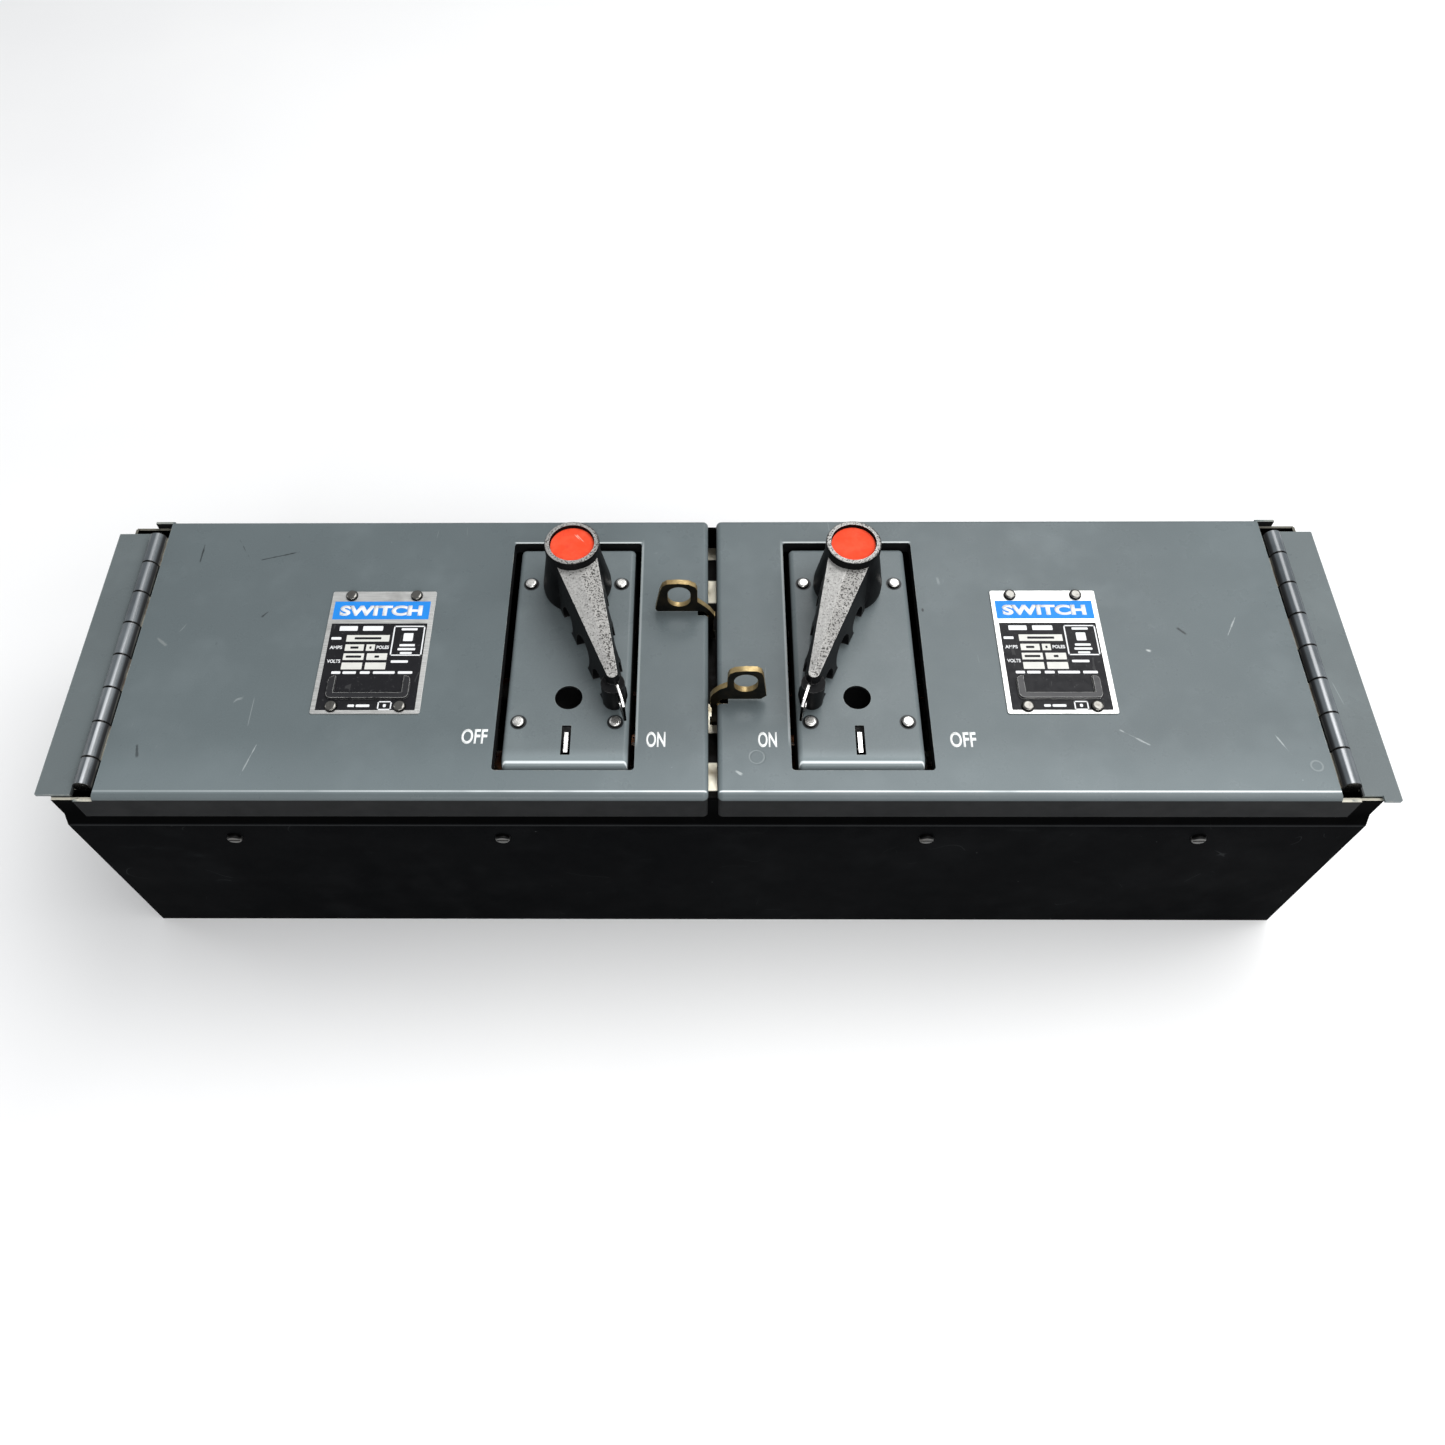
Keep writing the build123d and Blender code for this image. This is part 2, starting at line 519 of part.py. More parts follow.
with BuildPart() as handle:
    # boss with a flared skirt
    with BuildSketch(Plane.XZ.offset(-HANDLE_AT[1])):
        with BuildLine():
            Polyline(
                (HANDLE_AT[0], HANDLE_LOW_Z), (HANDLE_AT[0] + BOSS_BASE_R, HANDLE_LOW_Z),
                (HANDLE_AT[0] + BOSS_BASE_R, HANDLE_LOW_Z + 4), (HANDLE_AT[0] + BOSS_TOP_R, BOSS_TOP_Z - 10),
                (HANDLE_AT[0] + BOSS_TOP_R, BOSS_TOP_Z), (HANDLE_AT[0], BOSS_TOP_Z), close=True,
            )
        make_face()
    revolve(axis=Axis((*HANDLE_AT, 0), (0, 0, 1)))
    fillet(handle.edges().group_by(Axis.Z)[-1], 1.0)
    # tapering arm with a ridged top and a rounded tip
    loft(sections=[arm_root, arm_end], ruled=True)
    with Locations(HANDLE_PLANE):
        with Locations((ARM_TIP, 0, HANDLE_LOW_Z)):
            Cone(ARM_TIP_LOW_R, ARM_TIP_R, ARM_TIP_TOP_Z - HANDLE_LOW_Z, align=ON_FLOOR)
        with Locations((*NOSE_AT, HANDLE_LOW_Z)):
            Cylinder(NOSE_R, NOSE_TOP_Z - HANDLE_LOW_Z, align=ON_FLOOR)
        # finger scallops under the arm
        for along, radius in SCALLOPS:
            with Locations((along, 0, HANDLE_LOW_Z + 5)):
                Cylinder(radius, 60, rotation=(90, 0, 0), mode=Mode.SUBTRACT)
        # slot for the lock tab, below the arm's tip
        with Locations((84, LOCK_TAB_Y, HANDLE_LOW_Z)):
            Box(24, LOCK_TAB_T + 0.5, 2 * (NOSE_TOP_Z + 0.5 - HANDLE_LOW_Z), mode=Mode.SUBTRACT)
        # recess for the disc, and the shaft's socket
        with Locations((0, 0, BOSS_TOP_Z)):
            Cylinder(DISC_R + 0.25, 2 * DISC_DEPTH + 2.4, mode=Mode.SUBTRACT)
        with Locations((0, 0, HANDLE_LOW_Z - 1)):
            Cylinder(SHAFT_R + FIT, 21, align=ON_FLOOR, mode=Mode.SUBTRACT)
save_pair(handle.part, "handle")

with BuildPart() as handle_disc:
    with Locations((*HANDLE_AT, BOSS_TOP_Z - DISC_DEPTH)):
        Cylinder(DISC_R, 1.2, align=HANGING)
    fillet(handle_disc.edges().group_by(Axis.Z)[-1], 0.4)
save_pair(handle_disc.part, "handle_disc")

with BuildPart() as lock_tab:
    with BuildSketch(Plane(origin=HANDLE_PLANE.from_local_coords((0, LOCK_TAB_Y, 0)), x_dir=ARM_DIRECTION,
                           z_dir=HANDLE_PLANE.y_dir)):
        with BuildLine():
            # this plane's own y axis points down
            Polyline(
                (74, -HANDLE_LOW_Z), (96, -HANDLE_LOW_Z), (96, -177), (93, -180), (83, -180),
                (83, -178), (74, -178), close=True,
            )
        make_face()
        with Locations((89.5, -170)):
            Circle(3.4, mode=Mode.SUBTRACT)
    extrude(amount=LOCK_TAB_T / 2, both=True)
save_pair(lock_tab.part, "lock_tab")

with BuildPart() as handle_shaft:
    with Locations((*HANDLE_AT, CRANK_Z[0])):
        Cylinder(SHAFT_R, HANDLE_LOW_Z + 19 - CRANK_Z[0], align=ON_FLOOR)
    with BuildSketch(HANDLE_PLANE.offset(CRANK_Z[0])):
        with Locations((CRANK_R / 2, 0)):
            SlotCenterToCenter(CRANK_R, 20)
    extrude(amount=CRANK_Z[1] - CRANK_Z[0])
    with Locations(HANDLE_PLANE):
        with Locations((CRANK_R, 0, CRANK_PIN_LOW_Z)):
            Cylinder(CRANK_PIN_R, CRANK_Z[0] - CRANK_PIN_LOW_Z, align=ON_FLOOR)
save_pair(handle_shaft.part, "handle_shaft")

with BuildPart() as interlock_lever:
    lever_x = LEVER_SLOT_AT[0]
    block(
        (lever_x - LEVER[0] / 2, LEVER_Y - LEVER[1] / 2, FRAME_TOP_Z - 14),
        (lever_x + LEVER[0] / 2, LEVER_Y + LEVER[1] / 2, PLATE_TOP_Z - 1),
    )
save_pair(interlock_lever.part, "interlock_lever")

# ---------------------------------------------------------------- mechanism
FRAME_X = (46.0, 112.0)
FRAME_LEG_Y = 79.0
with BuildPart() as mechanism_frame:
    block((FRAME_X[0], -FRAME_LEG_Y, FRAME_TOP_Z - LEAF), (FRAME_X[1], FRAME_LEG_Y, FRAME_TOP_Z))
    for sign in (-1, 1):
        low_y, high_y = sorted((sign * FRAME_LEG_Y, sign * (FRAME_LEG_Y - LEAF)))
        block((FRAME_X[0] + 4, low_y, 2 * SHEET), (FRAME_X[1] - 4, high_y, FRAME_TOP_Z))
        rod_low, rod_high = sorted((sign * (ROD_Y - 6), sign * (ROD_Y + 6)))
        for x in (FRAME_X[0], FRAME_X[1] - LEAF):
            block((x, rod_low, ROD_Z - 8), (x + LEAF, rod_high, FRAME_TOP_Z))
        with Locations((0, sign * ROD_Y, ROD_Z)):
            Cylinder(ROD_R, 400, rotation=(0, 90, 0), mode=Mode.SUBTRACT)
    with Locations((*HANDLE_AT, FRAME_TOP_Z)):
        Cylinder(SHAFT_R + FIT, 10, mode=Mode.SUBTRACT)
    with Locations((*LEVER_SLOT_AT, FRAME_TOP_Z)):
        Box(LEVER[0] + 0.4, LEVER_SLOT[1], 10, mode=Mode.SUBTRACT)
save_pair(mechanism_frame.part, "mechanism_frame")

with BuildPart() as guide_rods:
    with Locations(*[(sum(FRAME_X) / 2, s * ROD_Y, ROD_Z) for s in (-1, 1)]):
        Cylinder(ROD_R, FRAME_X[1] - FRAME_X[0], rotation=(0, 90, 0))
    mirror(about=Plane.YZ)
save(guide_rods.part, "guide_rods")

with BuildPart() as contact_carriage:
    block(
        (CRANK_X - CARRIAGE_HALF_X, -CARRIAGE_HALF_Y, CARRIAGE_Z[0]),
        (CRANK_X + CARRIAGE_HALF_X, CARRIAGE_HALF_Y, CARRIAGE_Z[1]),
    )
    for y in POLES:
        block((CRANK_X - 7, y - 6, BLADE_Z[1]), (CRANK_X + 7, y + 6, CARRIAGE_Z[0] + 1))
    with Locations((CRANK_X, CRANK_MID_Y, CARRIAGE_Z[1])):
        Box(*PIN_SLOT, 24, mode=Mode.SUBTRACT)
    with Locations(*[(CRANK_X, s * ROD_Y, ROD_Z) for s in (-1, 1)]):
        Cylinder(ROD_R + FIT, 60, rotation=(0, 90, 0), mode=Mode.SUBTRACT)
save_pair(contact_carriage.part, "contact_carriage")

with BuildPart() as switch_blades:
    for y in POLES:
        block((BLADE_X[0], y - BLADE_T / 2, BLADE_Z[0]), (BLADE_X[1], y + BLADE_T / 2, BLADE_Z[1]))
save_pair(switch_blades.part, "switch_blades")

# ---------------------------------------------------------------- insulating bases
SWITCH_BASE_X = (40.0, 118.0)
FUSE_BASE_X = (140.0, 316.0)
with BuildPart() as switch_bases:
    block((SWITCH_BASE_X[0], -75, SHEET), (SWITCH_BASE_X[1], 75, BASE_TOP_Z))
    for y in POLES[:2]:
        gap_y = y + POLE_PITCH / 2
        block((SWITCH_BASE_X[0] - 1, gap_y - 1.5, 18), (SWITCH_BASE_X[1] + 1, gap_y + 1.5, 31), Mode.SUBTRACT)
    mirror(about=Plane.YZ)
save(switch_bases.part, "switch_bases")

with BuildPart() as arc_barriers:
    for y in POLES[:2]:
        gap_y = y + POLE_PITCH / 2
        block((SWITCH_BASE_X[0], gap_y - 1.5, 18), (SWITCH_BASE_X[1], gap_y + 1.5, 70))
    mirror(about=Plane.YZ)
save(arc_barriers.part, "arc_barriers")

with BuildPart() as fuse_bases:
    block((FUSE_BASE_X[0], -84, 2 * SHEET + 0.1), (FUSE_BASE_X[1], 84, BASE_TOP_Z))
    for y in POLES[:2]:
        gap_y = y + POLE_PITCH / 2
        block((FUSE_BASE_X[0], gap_y - 2, BASE_TOP_Z - 1), (FUSE_BASE_X[1], gap_y + 2, 44))
    block((180, -90, 14), (254, 90, 31), Mode.SUBTRACT)
    block((180, -84, 14), (254, -80, BASE_TOP_Z))
    block((180, 80, 14), (254, 84, BASE_TOP_Z))
    mirror(about=Plane.YZ)
save(fuse_bases.part, "fuse_bases")


# ---------------------------------------------------------------- current path
def clip(x_range, y, gap, low_z, high_z, leaf=JAW_LEAF):
    """A U-shaped clip that holds an upright blade lying along X."""
    out = gap / 2 + leaf
    block((x_range[0], y - out, low_z), (x_range[1], y + out, low_z + STRAP))
    for sign in (-1, 1):
        low_y, high_y = sorted((y + sign * gap / 2, y + sign * out))
        block((x_range[0], low_y, low_z), (x_range[1], high_y, high_z))


with BuildPart() as bus_jaws:
    for x, y in zip(PHASE_X, POLES):
        block((x - 6, y - 10, BASE_TOP_Z - STRAP), (x + 6, y + 10, BASE_TOP_Z))
        for sign in (-1, 1):
            low_x, high_x = sorted((x + sign * STAB_GAP / 2, x + sign * (STAB_GAP / 2 + JAW_LEAF)))
            block((low_x, y - 10, 3), (high_x, y + 10, BASE_TOP_Z))
save(bus_jaws.part, "bus_jaws")

with BuildPart() as line_straps:
    for y in POLES:
        block((-62, y - 8, BASE_TOP_Z), (62, y + 8, STRAP_TOP_Z))
save(line_straps.part, "line_straps")

with BuildPart() as line_contacts:
    for y in POLES:
        clip(LINE_JAW_X, y, JAW_GAP, STRAP_TOP_Z, BLADE_Z[1])
    mirror(about=Plane.YZ)
save(line_contacts.part, "line_contacts")

clip_half = FUSE_CLIP_W / 2
with BuildPart() as load_contacts:
    for y in POLES:
        block((99, y - 8, BASE_TOP_Z), (FUSE_CLIP_X[0] + clip_half + 1, y + 8, STRAP_TOP_Z))
        clip(LOAD_JAW_X, y, JAW_GAP, STRAP_TOP_Z - 1, BLADE_Z[1])
    mirror(about=Plane.YZ)
save(load_contacts.part, "load_contacts")


def fuse_clips(centre_x, strap_end_x):
    """Fuse clips of one end, with the strap to the lugs where strap_end_x is given."""
    with BuildPart() as clips:
        for y in POLES:
            x_range = (centre_x - clip_half, centre_x + clip_half)
            clip(x_range, y, BLADE_T + 2 * FIT, STRAP_TOP_Z, FUSE_Z + FUSE_BLADE_W / 2 + 2)
            if strap_end_x:
                block((x_range[0], y - 8, BASE_TOP_Z), (strap_end_x, y + 8, STRAP_TOP_Z + 0.5))
        mirror(about=Plane.YZ)
    return clips.part


save(fuse_clips(FUSE_CLIP_X[0], None), "line_fuse_clips")
save(fuse_clips(FUSE_CLIP_X[1], LUG_X - LUG[0] / 2 - FIT), "load_fuse_clips")

with BuildPart() as fuse_tubes:
    with Locations(*[(FUSE_AT_X, y, FUSE_Z) for y in POLES]):
        Cylinder(FUSE_TUBE_R, FUSE_TUBE_LENGTH, rotation=(0, 90, 0))
    mirror(about=Plane.YZ)
save(fuse_tubes.part, "fuse_tubes")

with BuildPart() as fuse_blades:
    blade_length = (FUSE_LENGTH - FUSE_TUBE_LENGTH) / 2
    for y in POLES:
        for sign in (-1, 1):
            x = FUSE_AT_X + sign * (FUSE_TUBE_LENGTH + blade_length) / 2
            with Locations((x, y, FUSE_Z)):
                Box(blade_length, BLADE_T, FUSE_BLADE_W)
    mirror(about=Plane.YZ)
save(fuse_blades.part, "fuse_blades")

with BuildPart() as load_lugs:
    for y in POLES:
        with Locations((LUG_X, y, BASE_TOP_Z + LUG[2] / 2)):
            Box(*LUG)
        with Locations((LUG_X + 4, y, LUG_BORE_Z)):
            Cylinder(LUG_BORE_R, LUG[0], rotation=(0, 90, 0), mode=Mode.SUBTRACT)
        with Locations((LUG_X + 1, y, BASE_TOP_Z + LUG[2])):
            Cylinder(LUG_SCREW_R + FIT, 8, mode=Mode.SUBTRACT)
    mirror(about=Plane.YZ)
save(load_lugs.part, "load_lugs")

with BuildPart() as lug_screws:
    for y in POLES:
        with Locations((LUG_X + 1, y, BASE_TOP_Z + LUG[2] - 2)):
            Cylinder(LUG_SCREW_R, 9, align=ON_FLOOR)
        with Locations((LUG_X + 1, y, BASE_TOP_Z + LUG[2] + 7)):
            Box(LUG_SCREW_R * 2, 1.4, 3, mode=Mode.SUBTRACT)
    mirror(about=Plane.YZ)
save(lug_screws.part, "lug_screws")
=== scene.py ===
"""Looks of the twin fused-switch unit: materials, paint lettering, nameplate print and small fittings.

Lengths are in metres, in the CAD frame: X along the unit, Y up the panel, Z out of the front.
Positions come from the boxes of the CAD nodes.
"""
import math

import bmesh
import bpy
from mathutils import Matrix, Vector


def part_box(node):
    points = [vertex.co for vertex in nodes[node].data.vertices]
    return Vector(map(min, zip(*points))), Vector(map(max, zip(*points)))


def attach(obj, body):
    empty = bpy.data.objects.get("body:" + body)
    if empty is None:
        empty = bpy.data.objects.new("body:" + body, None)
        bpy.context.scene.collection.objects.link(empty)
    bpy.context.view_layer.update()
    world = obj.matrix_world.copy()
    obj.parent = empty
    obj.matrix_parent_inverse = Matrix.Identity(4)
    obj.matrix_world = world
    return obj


MM = 0.001
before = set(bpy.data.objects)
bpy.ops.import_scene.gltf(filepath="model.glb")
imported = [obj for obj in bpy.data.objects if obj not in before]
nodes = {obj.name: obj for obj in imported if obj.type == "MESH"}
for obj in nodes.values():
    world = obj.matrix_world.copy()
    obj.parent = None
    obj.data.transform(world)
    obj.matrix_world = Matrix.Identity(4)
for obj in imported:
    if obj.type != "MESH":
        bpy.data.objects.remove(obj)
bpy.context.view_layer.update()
SIDES = {"left": -1, "right": 1}
DOOR_LOW, DOOR_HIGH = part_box("left_door")
DOOR_TOP = DOOR_HIGH.z
WALL_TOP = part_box("lower_side_wall")[1].z
# where the doors' near bend begins
NEAR_BEND = DOOR_LOW.y + 4.7 * MM
# distance from the middle beyond which the upper edges of the sheet lie bare
BARE_BEYOND = 323.2 * MM
HINGE_LOW, HINGE_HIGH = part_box("right_hinge_pin")
HINGE_X = (HINGE_LOW.x + HINGE_HIGH.x) / 2
HINGE_R = 4.8 * MM
# the short knuckle is counted to the middle of its joint
KNUCKLE_PITCH = 21.75 * MM
SHORT_KNUCKLE = 16.1 * MM
KNUCKLES_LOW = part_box("left_hinge_frame_leaf")[0].y
KNUCKLES_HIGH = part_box("right_hinge_frame_leaf")[1].y
HANDLE_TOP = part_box("left_handle")[1].z
FLANGE_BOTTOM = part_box("left_end_flange")[0].z


# ------------------------------------------------------------------ shader helper
class Shader:
    """Builds one procedural material. A value is a number, a colour or another node's socket."""

    def __init__(self, name, metallic=0.0, specular=0.5):
        self.material = bpy.data.materials.new(name)
        self.material.use_nodes = True
        self.tree = self.material.node_tree
        self.bsdf = self.tree.nodes["Principled BSDF"]
        self.bsdf.inputs["Metallic"].default_value = metallic
        self.bsdf.inputs["Specular IOR Level"].default_value = specular
        coords = self.tree.nodes.new("ShaderNodeTexCoord")
        self.place = coords.outputs["Object"]
        self.normal = coords.outputs["Normal"]
        split = self.node("ShaderNodeSeparateXYZ", Vector=self.place)
        self.x, self.y, self.z = split.outputs

    def put(self, socket, value):
        if isinstance(value, bpy.types.NodeSocket):
            self.tree.links.new(value, socket)
        elif socket.type == "RGBA":
            socket.default_value = (*value, 1.0)
        else:
            socket.default_value = value

    def node(self, kind, **inputs):
        made = self.tree.nodes.new(kind)
        for name, value in inputs.items():
            self.put(made.inputs[name.replace("_", " ")], value)
        return made

    def math(self, operation, a, b=0.0):
        made = self.tree.nodes.new("ShaderNodeMath")
        made.operation = operation
        for socket, value in zip(made.inputs, (a, b)):
            self.put(socket, value)
        return made.outputs[0]

    def facing(self, axis):
        """How far the surface faces along an axis, from -1 to 1."""
        made = self.tree.nodes.new("ShaderNodeVectorMath")
        made.operation = "DOT_PRODUCT"
        self.put(made.inputs[0], self.normal)
        made.inputs[1].default_value = axis
        return made.outputs["Value"]

    def stretched(self, scale, turn=(0, 0, 0), shift=(0, 0, 0)):
        made = self.node("ShaderNodeMapping", Vector=self.place, Scale=scale, Location=shift)
        made.inputs["Rotation"].default_value = turn
        return made.outputs[0]

    def noise(self, scale, detail=2.0, rough=0.5, place=None):
        made = self.node("ShaderNodeTexNoise", Vector=place or self.place, Scale=scale, Detail=detail,
                         Roughness=rough)
        return made.outputs["Fac"]

    def cells(self, scale, place=None):
        """Distance from each cell's middle, and a random number for the cell."""
        made = self.node("ShaderNodeTexVoronoi", Vector=place or self.place, Scale=scale)
        split = self.node("ShaderNodeSeparateColor", Color=made.outputs["Color"])
        return made.outputs["Distance"], split.outputs[0]

    def ramp(self, value, low, high, out_low=0.0, out_high=1.0):
        made = self.node("ShaderNodeMapRange", Value=value, From_Min=low, From_Max=high,
                         To_Min=out_low, To_Max=out_high)
        made.interpolation_type = "SMOOTHSTEP"
        return made.outputs[0]

    def mix(self, share, a, b):
        made = self.tree.nodes.new("ShaderNodeMix")
        made.data_type = "RGBA"
        self.put(made.inputs["Factor"], share)
        for socket, value in ((made.inputs[6], a), (made.inputs[7], b)):
            self.put(socket, value)
        return made.outputs[2]

    def both(self, a, b):
        return self.math("MULTIPLY", a, b)

    def either(self, a, b):
        return self.math("MAXIMUM", a, b)

    def plus(self, a, b):
        return self.math("ADD", a, b)

    def minus(self, a, b):
        return self.math("SUBTRACT", a, b)

    def size(self, value):
        """The value without its sign."""
        return self.math("ABSOLUTE", value)

    def inside(self, value, low, high, soft):
        """1 where value lies between low and high, fading over soft."""
        rise = self.ramp(value, low - soft, low + soft)
        fall = self.ramp(value, high - soft, high + soft, 1.0, 0.0)
        return self.both(rise, fall)

    def edges(self, radius):
        """1 along sharp edges and corners, where the rounded normal leaves the true one."""
        bevel = self.node("ShaderNodeBevel", Radius=radius)
        bevel.samples = 4
        true_normal = self.tree.nodes.new("ShaderNodeNewGeometry").outputs["Normal"]
        dot = self.tree.nodes.new("ShaderNodeVectorMath")
        dot.operation = "DOT_PRODUCT"
        self.put(dot.inputs[0], bevel.outputs[0])
        self.put(dot.inputs[1], true_normal)
        return self.ramp(self.minus(1.0, dot.outputs["Value"]), 0.02, 0.25)

    def hairlines(self, scale, width, turn, along=0.12, rarity=0.62):
        """Thin broken lines, like scratches, running mostly one way."""
        place = self.stretched((1.0, along, 1.0), turn=(0, 0, turn), shift=(turn, turn * 2, 0))
        off_line = self.size(self.minus(self.noise(scale, 1.0, place=place), 0.5))
        line = self.ramp(off_line, width, width * 2.2, 1.0, 0.0)
        return self.both(line, self.ramp(self.noise(scale * 0.9, 2.0), rarity, rarity + 0.03))

    def stroke(self, start, end, width):
        """1 along a short straight mark between two places in X and Y, given in millimetres."""
        (ax, ay), (bx, by) = start, end
        length = math.hypot(bx - ax, by - ay)
        ux, uy = (bx - ax) / length, (by - ay) / length
        along = self.plus(self.both(self.x, ux), self.both(self.y, uy))
        across = self.minus(self.both(self.y, ux), self.both(self.x, uy))
        first = (ax * ux + ay * uy) * MM
        off = self.size(self.minus(across, (ay * ux - ax * uy) * MM))
        wander = self.both(self.minus(self.noise(190, 2), 0.5), 1.6 * MM)
        off = self.size(self.plus(off, wander))
        line = self.ramp(off, 0.3 * width * MM, width * MM, 1.0, 0.0)
        return self.both(line, self.inside(along, first, first + length * MM, 0.8 * MM))

    def away(self, x, y):
        """Distance in X and Y from a place."""
        dx = self.math("POWER", self.minus(self.x, x), 2.0)
        dy = self.math("POWER", self.minus(self.y, y), 2.0)
        return self.math("SQRT", self.plus(dx, dy))

    def bump(self, height, distance, normal=None, strength=1.0):
        made = self.node("ShaderNodeBump", Height=height, Distance=distance, Strength=strength)
        if normal is not None:
            self.put(made.inputs["Normal"], normal)
        return made.outputs[0]

    def done(self, colour, roughness, normal=None, metallic=None):
        self.put(self.bsdf.inputs["Base Color"], colour)
        self.put(self.bsdf.inputs["Roughness"], roughness)
        if metallic is not None:
            self.put(self.bsdf.inputs["Metallic"], metallic)
        if normal is not None:
            self.put(self.bsdf.inputs["Normal"], normal)
        return self.material


# ------------------------------------------------------------------ materials
# enamels, each as its main, lighter and darker tone
DOOR_TONES = ((0.112, 0.136, 0.142), (0.128, 0.153, 0.160), (0.100, 0.121, 0.127))
COVER_TONES = ((0.128, 0.152, 0.158), (0.145, 0.170, 0.176), (0.115, 0.137, 0.143))
FLANGE_TONES = ((0.118, 0.138, 0.142), (0.135, 0.158, 0.162), (0.104, 0.122, 0.126))
# the walls' tones are near black: painted shade, standing for the grey enamel in shadow
SHADED_WALL_TONES = ((0.0036, 0.0038, 0.0042), (0.0060, 0.0064, 0.0070), (0.0024, 0.0026, 0.0030))
BARE_STEEL = (0.46, 0.46, 0.42)
OLIVE_EDGE = (0.30, 0.31, 0.24)
RUST = (0.16, 0.085, 0.045)
DUST = (0.36, 0.39, 0.39)
SOOT = (0.012, 0.013, 0.014)
CHIP = (0.52, 0.55, 0.54)
GLINT = (0.90, 0.95, 0.96)

RIVETS_LOW, RIVETS_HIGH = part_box("cover_plate_rivets")
RIVET_HEAD_R = 3.5 * MM
RIVET_SPACING = 52 * MM
COVER_RIVETS = [
    (side * (RIVETS_HIGH.x - RIVET_HEAD_R - step), y)
    for side in (-1, 1) for step in (0, RIVET_SPACING)
    for y in (RIVETS_LOW.y + RIVET_HEAD_R, RIVETS_HIGH.y - RIVET_HEAD_R)
]


def brighter(colour, times):
    return tuple(times * c for c in colour)


def painted_face(s, tones, wear):
    """Mottled enamel with specks and chips. Gives its colour and where it is scratched."""
    base, light, dark = tones
    colour = s.mix(s.ramp(s.noise(6, 3, 0.5), 0.35, 0.68), dark, base)
    colour = s.mix(s.ramp(s.noise(27, 3, 0.6), 0.45, 0.75, 0.0, 0.7), colour, light)
    grain = s.noise(1500, 2, 0.6)
    colour = s.mix(s.ramp(grain, 0.35, 0.75, 0.0, 0.20), colour, brighter(light, 1.25))
    # hairline scratches in three directions
    scratch = s.either(s.hairlines(30, 0.0015, 0.5, rarity=0.66), s.hairlines(41, 0.0012, -0.8, rarity=0.68))
    scratch = s.either(scratch, s.hairlines(21, 0.0010, 1.6, 0.3, 0.66))
    colour = s.mix(s.both(scratch, 0.35 * wear), colour, DUST)
    # white specks and small dark chips
    gap, pick = s.cells(95)
    speck = s.both(s.ramp(gap, 0.030, 0.050, 1.0, 0.0), s.ramp(pick, 0.91, 0.92))
    colour = s.mix(s.both(speck, 0.6 * wear), colour, CHIP)
    gap, pick = s.cells(61, s.stretched((1, 0.55, 1), turn=(0, 0, 0.7)))
    chip = s.both(s.ramp(gap, 0.03, 0.05, 1.0, 0.0), s.ramp(pick, 0.93, 0.94))
    return s.mix(s.both(chip, 0.8 * wear), colour, SOOT), scratch


def smeared_and_chipped(s, colour, light, wear):
    """Rubbed dirt in soft stretched smears, a painted highlight along the sharp edges, and paint gone from
    them in chips.
    """
    smear = s.ramp(s.noise(14, 5, 0.7, s.stretched((0.5, 1.6, 1))), 0.62, 0.82)
    colour = s.mix(s.both(smear, 0.22), colour, (0.06, 0.07, 0.072))
    edge = s.edges(0.7 * MM)
    chipped = s.both(edge, s.ramp(s.noise(260, 3, 0.65), 0.47, 0.60))
    # painted highlight: every sharp edge is painted lighter
    colour = s.mix(s.both(edge, 0.55), colour, brighter(light, 1.7))
    bare = s.mix(s.ramp(s.noise(120, 2), 0.4, 0.6), BARE_STEEL, OLIVE_EDGE)
    bare = s.mix(s.ramp(s.noise(75, 3), 0.62, 0.70, 0.0, 0.25), bare, RUST)
    return s.mix(s.both(chipped, 0.7 * wear), colour, bare)


def near_sheen(s, colour, light):
    """Painted sheen: the sheet is painted lighter toward its near end."""
    return s.mix(s.ramp(s.y, -88 * MM, -50 * MM, 0.35, 0.0), colour, brighter(light, 1.6))


def door_bend(s, colour):
    """The doors' near bend, with a painted highlight along one line and painted shade below it, and a
    painted highlight along the window's edges.
    """
    # painted highlight: a bright line painted along the near bend, weaker toward the left end
    line = s.inside(s.y, NEAR_BEND - 0.5 * MM, NEAR_BEND + 0.3 * MM, 0.4 * MM)
    line = s.both(line, s.ramp(s.facing((0, 0, 1)), 0.6, 0.9))
    line = s.both(line, s.ramp(s.x, -300 * MM, 0.0, 0.2, 0.95))
    line = s.both(line, s.ramp(s.noise(28, 2), 0.25, 0.55, 0.5, 1.0))
    # painted shade on the lower part of the near bend
    bend = s.ramp(s.y, NEAR_BEND - 2.0 * MM, NEAR_BEND - 0.8 * MM, 0.45, 0.0)
    colour = s.mix(bend, colour, (0.060, 0.070, 0.073))
    # painted highlight along the window's far edge, and fainter along its inner edge
    from_middle = s.size(s.x)
    far_rim_highlight = s.inside(s.y, 76.0 * MM, 76.9 * MM, 0.3 * MM)
    far_rim_highlight = s.both(far_rim_highlight, s.inside(from_middle, 41.5 * MM, 116.0 * MM, 1.0 * MM))
    inner_rim_highlight = s.inside(from_middle, 40.0 * MM, 41.0 * MM, 0.3 * MM)
    inner_rim_highlight = s.both(inner_rim_highlight, s.inside(s.y, -60.0 * MM, 76.0 * MM, 4.0 * MM))
    rim = s.either(far_rim_highlight, s.both(inner_rim_highlight, 0.35))
    colour = s.mix(s.both(rim, 0.8), colour, (0.62, 0.66, 0.66))
    return s.mix(line, colour, GLINT)


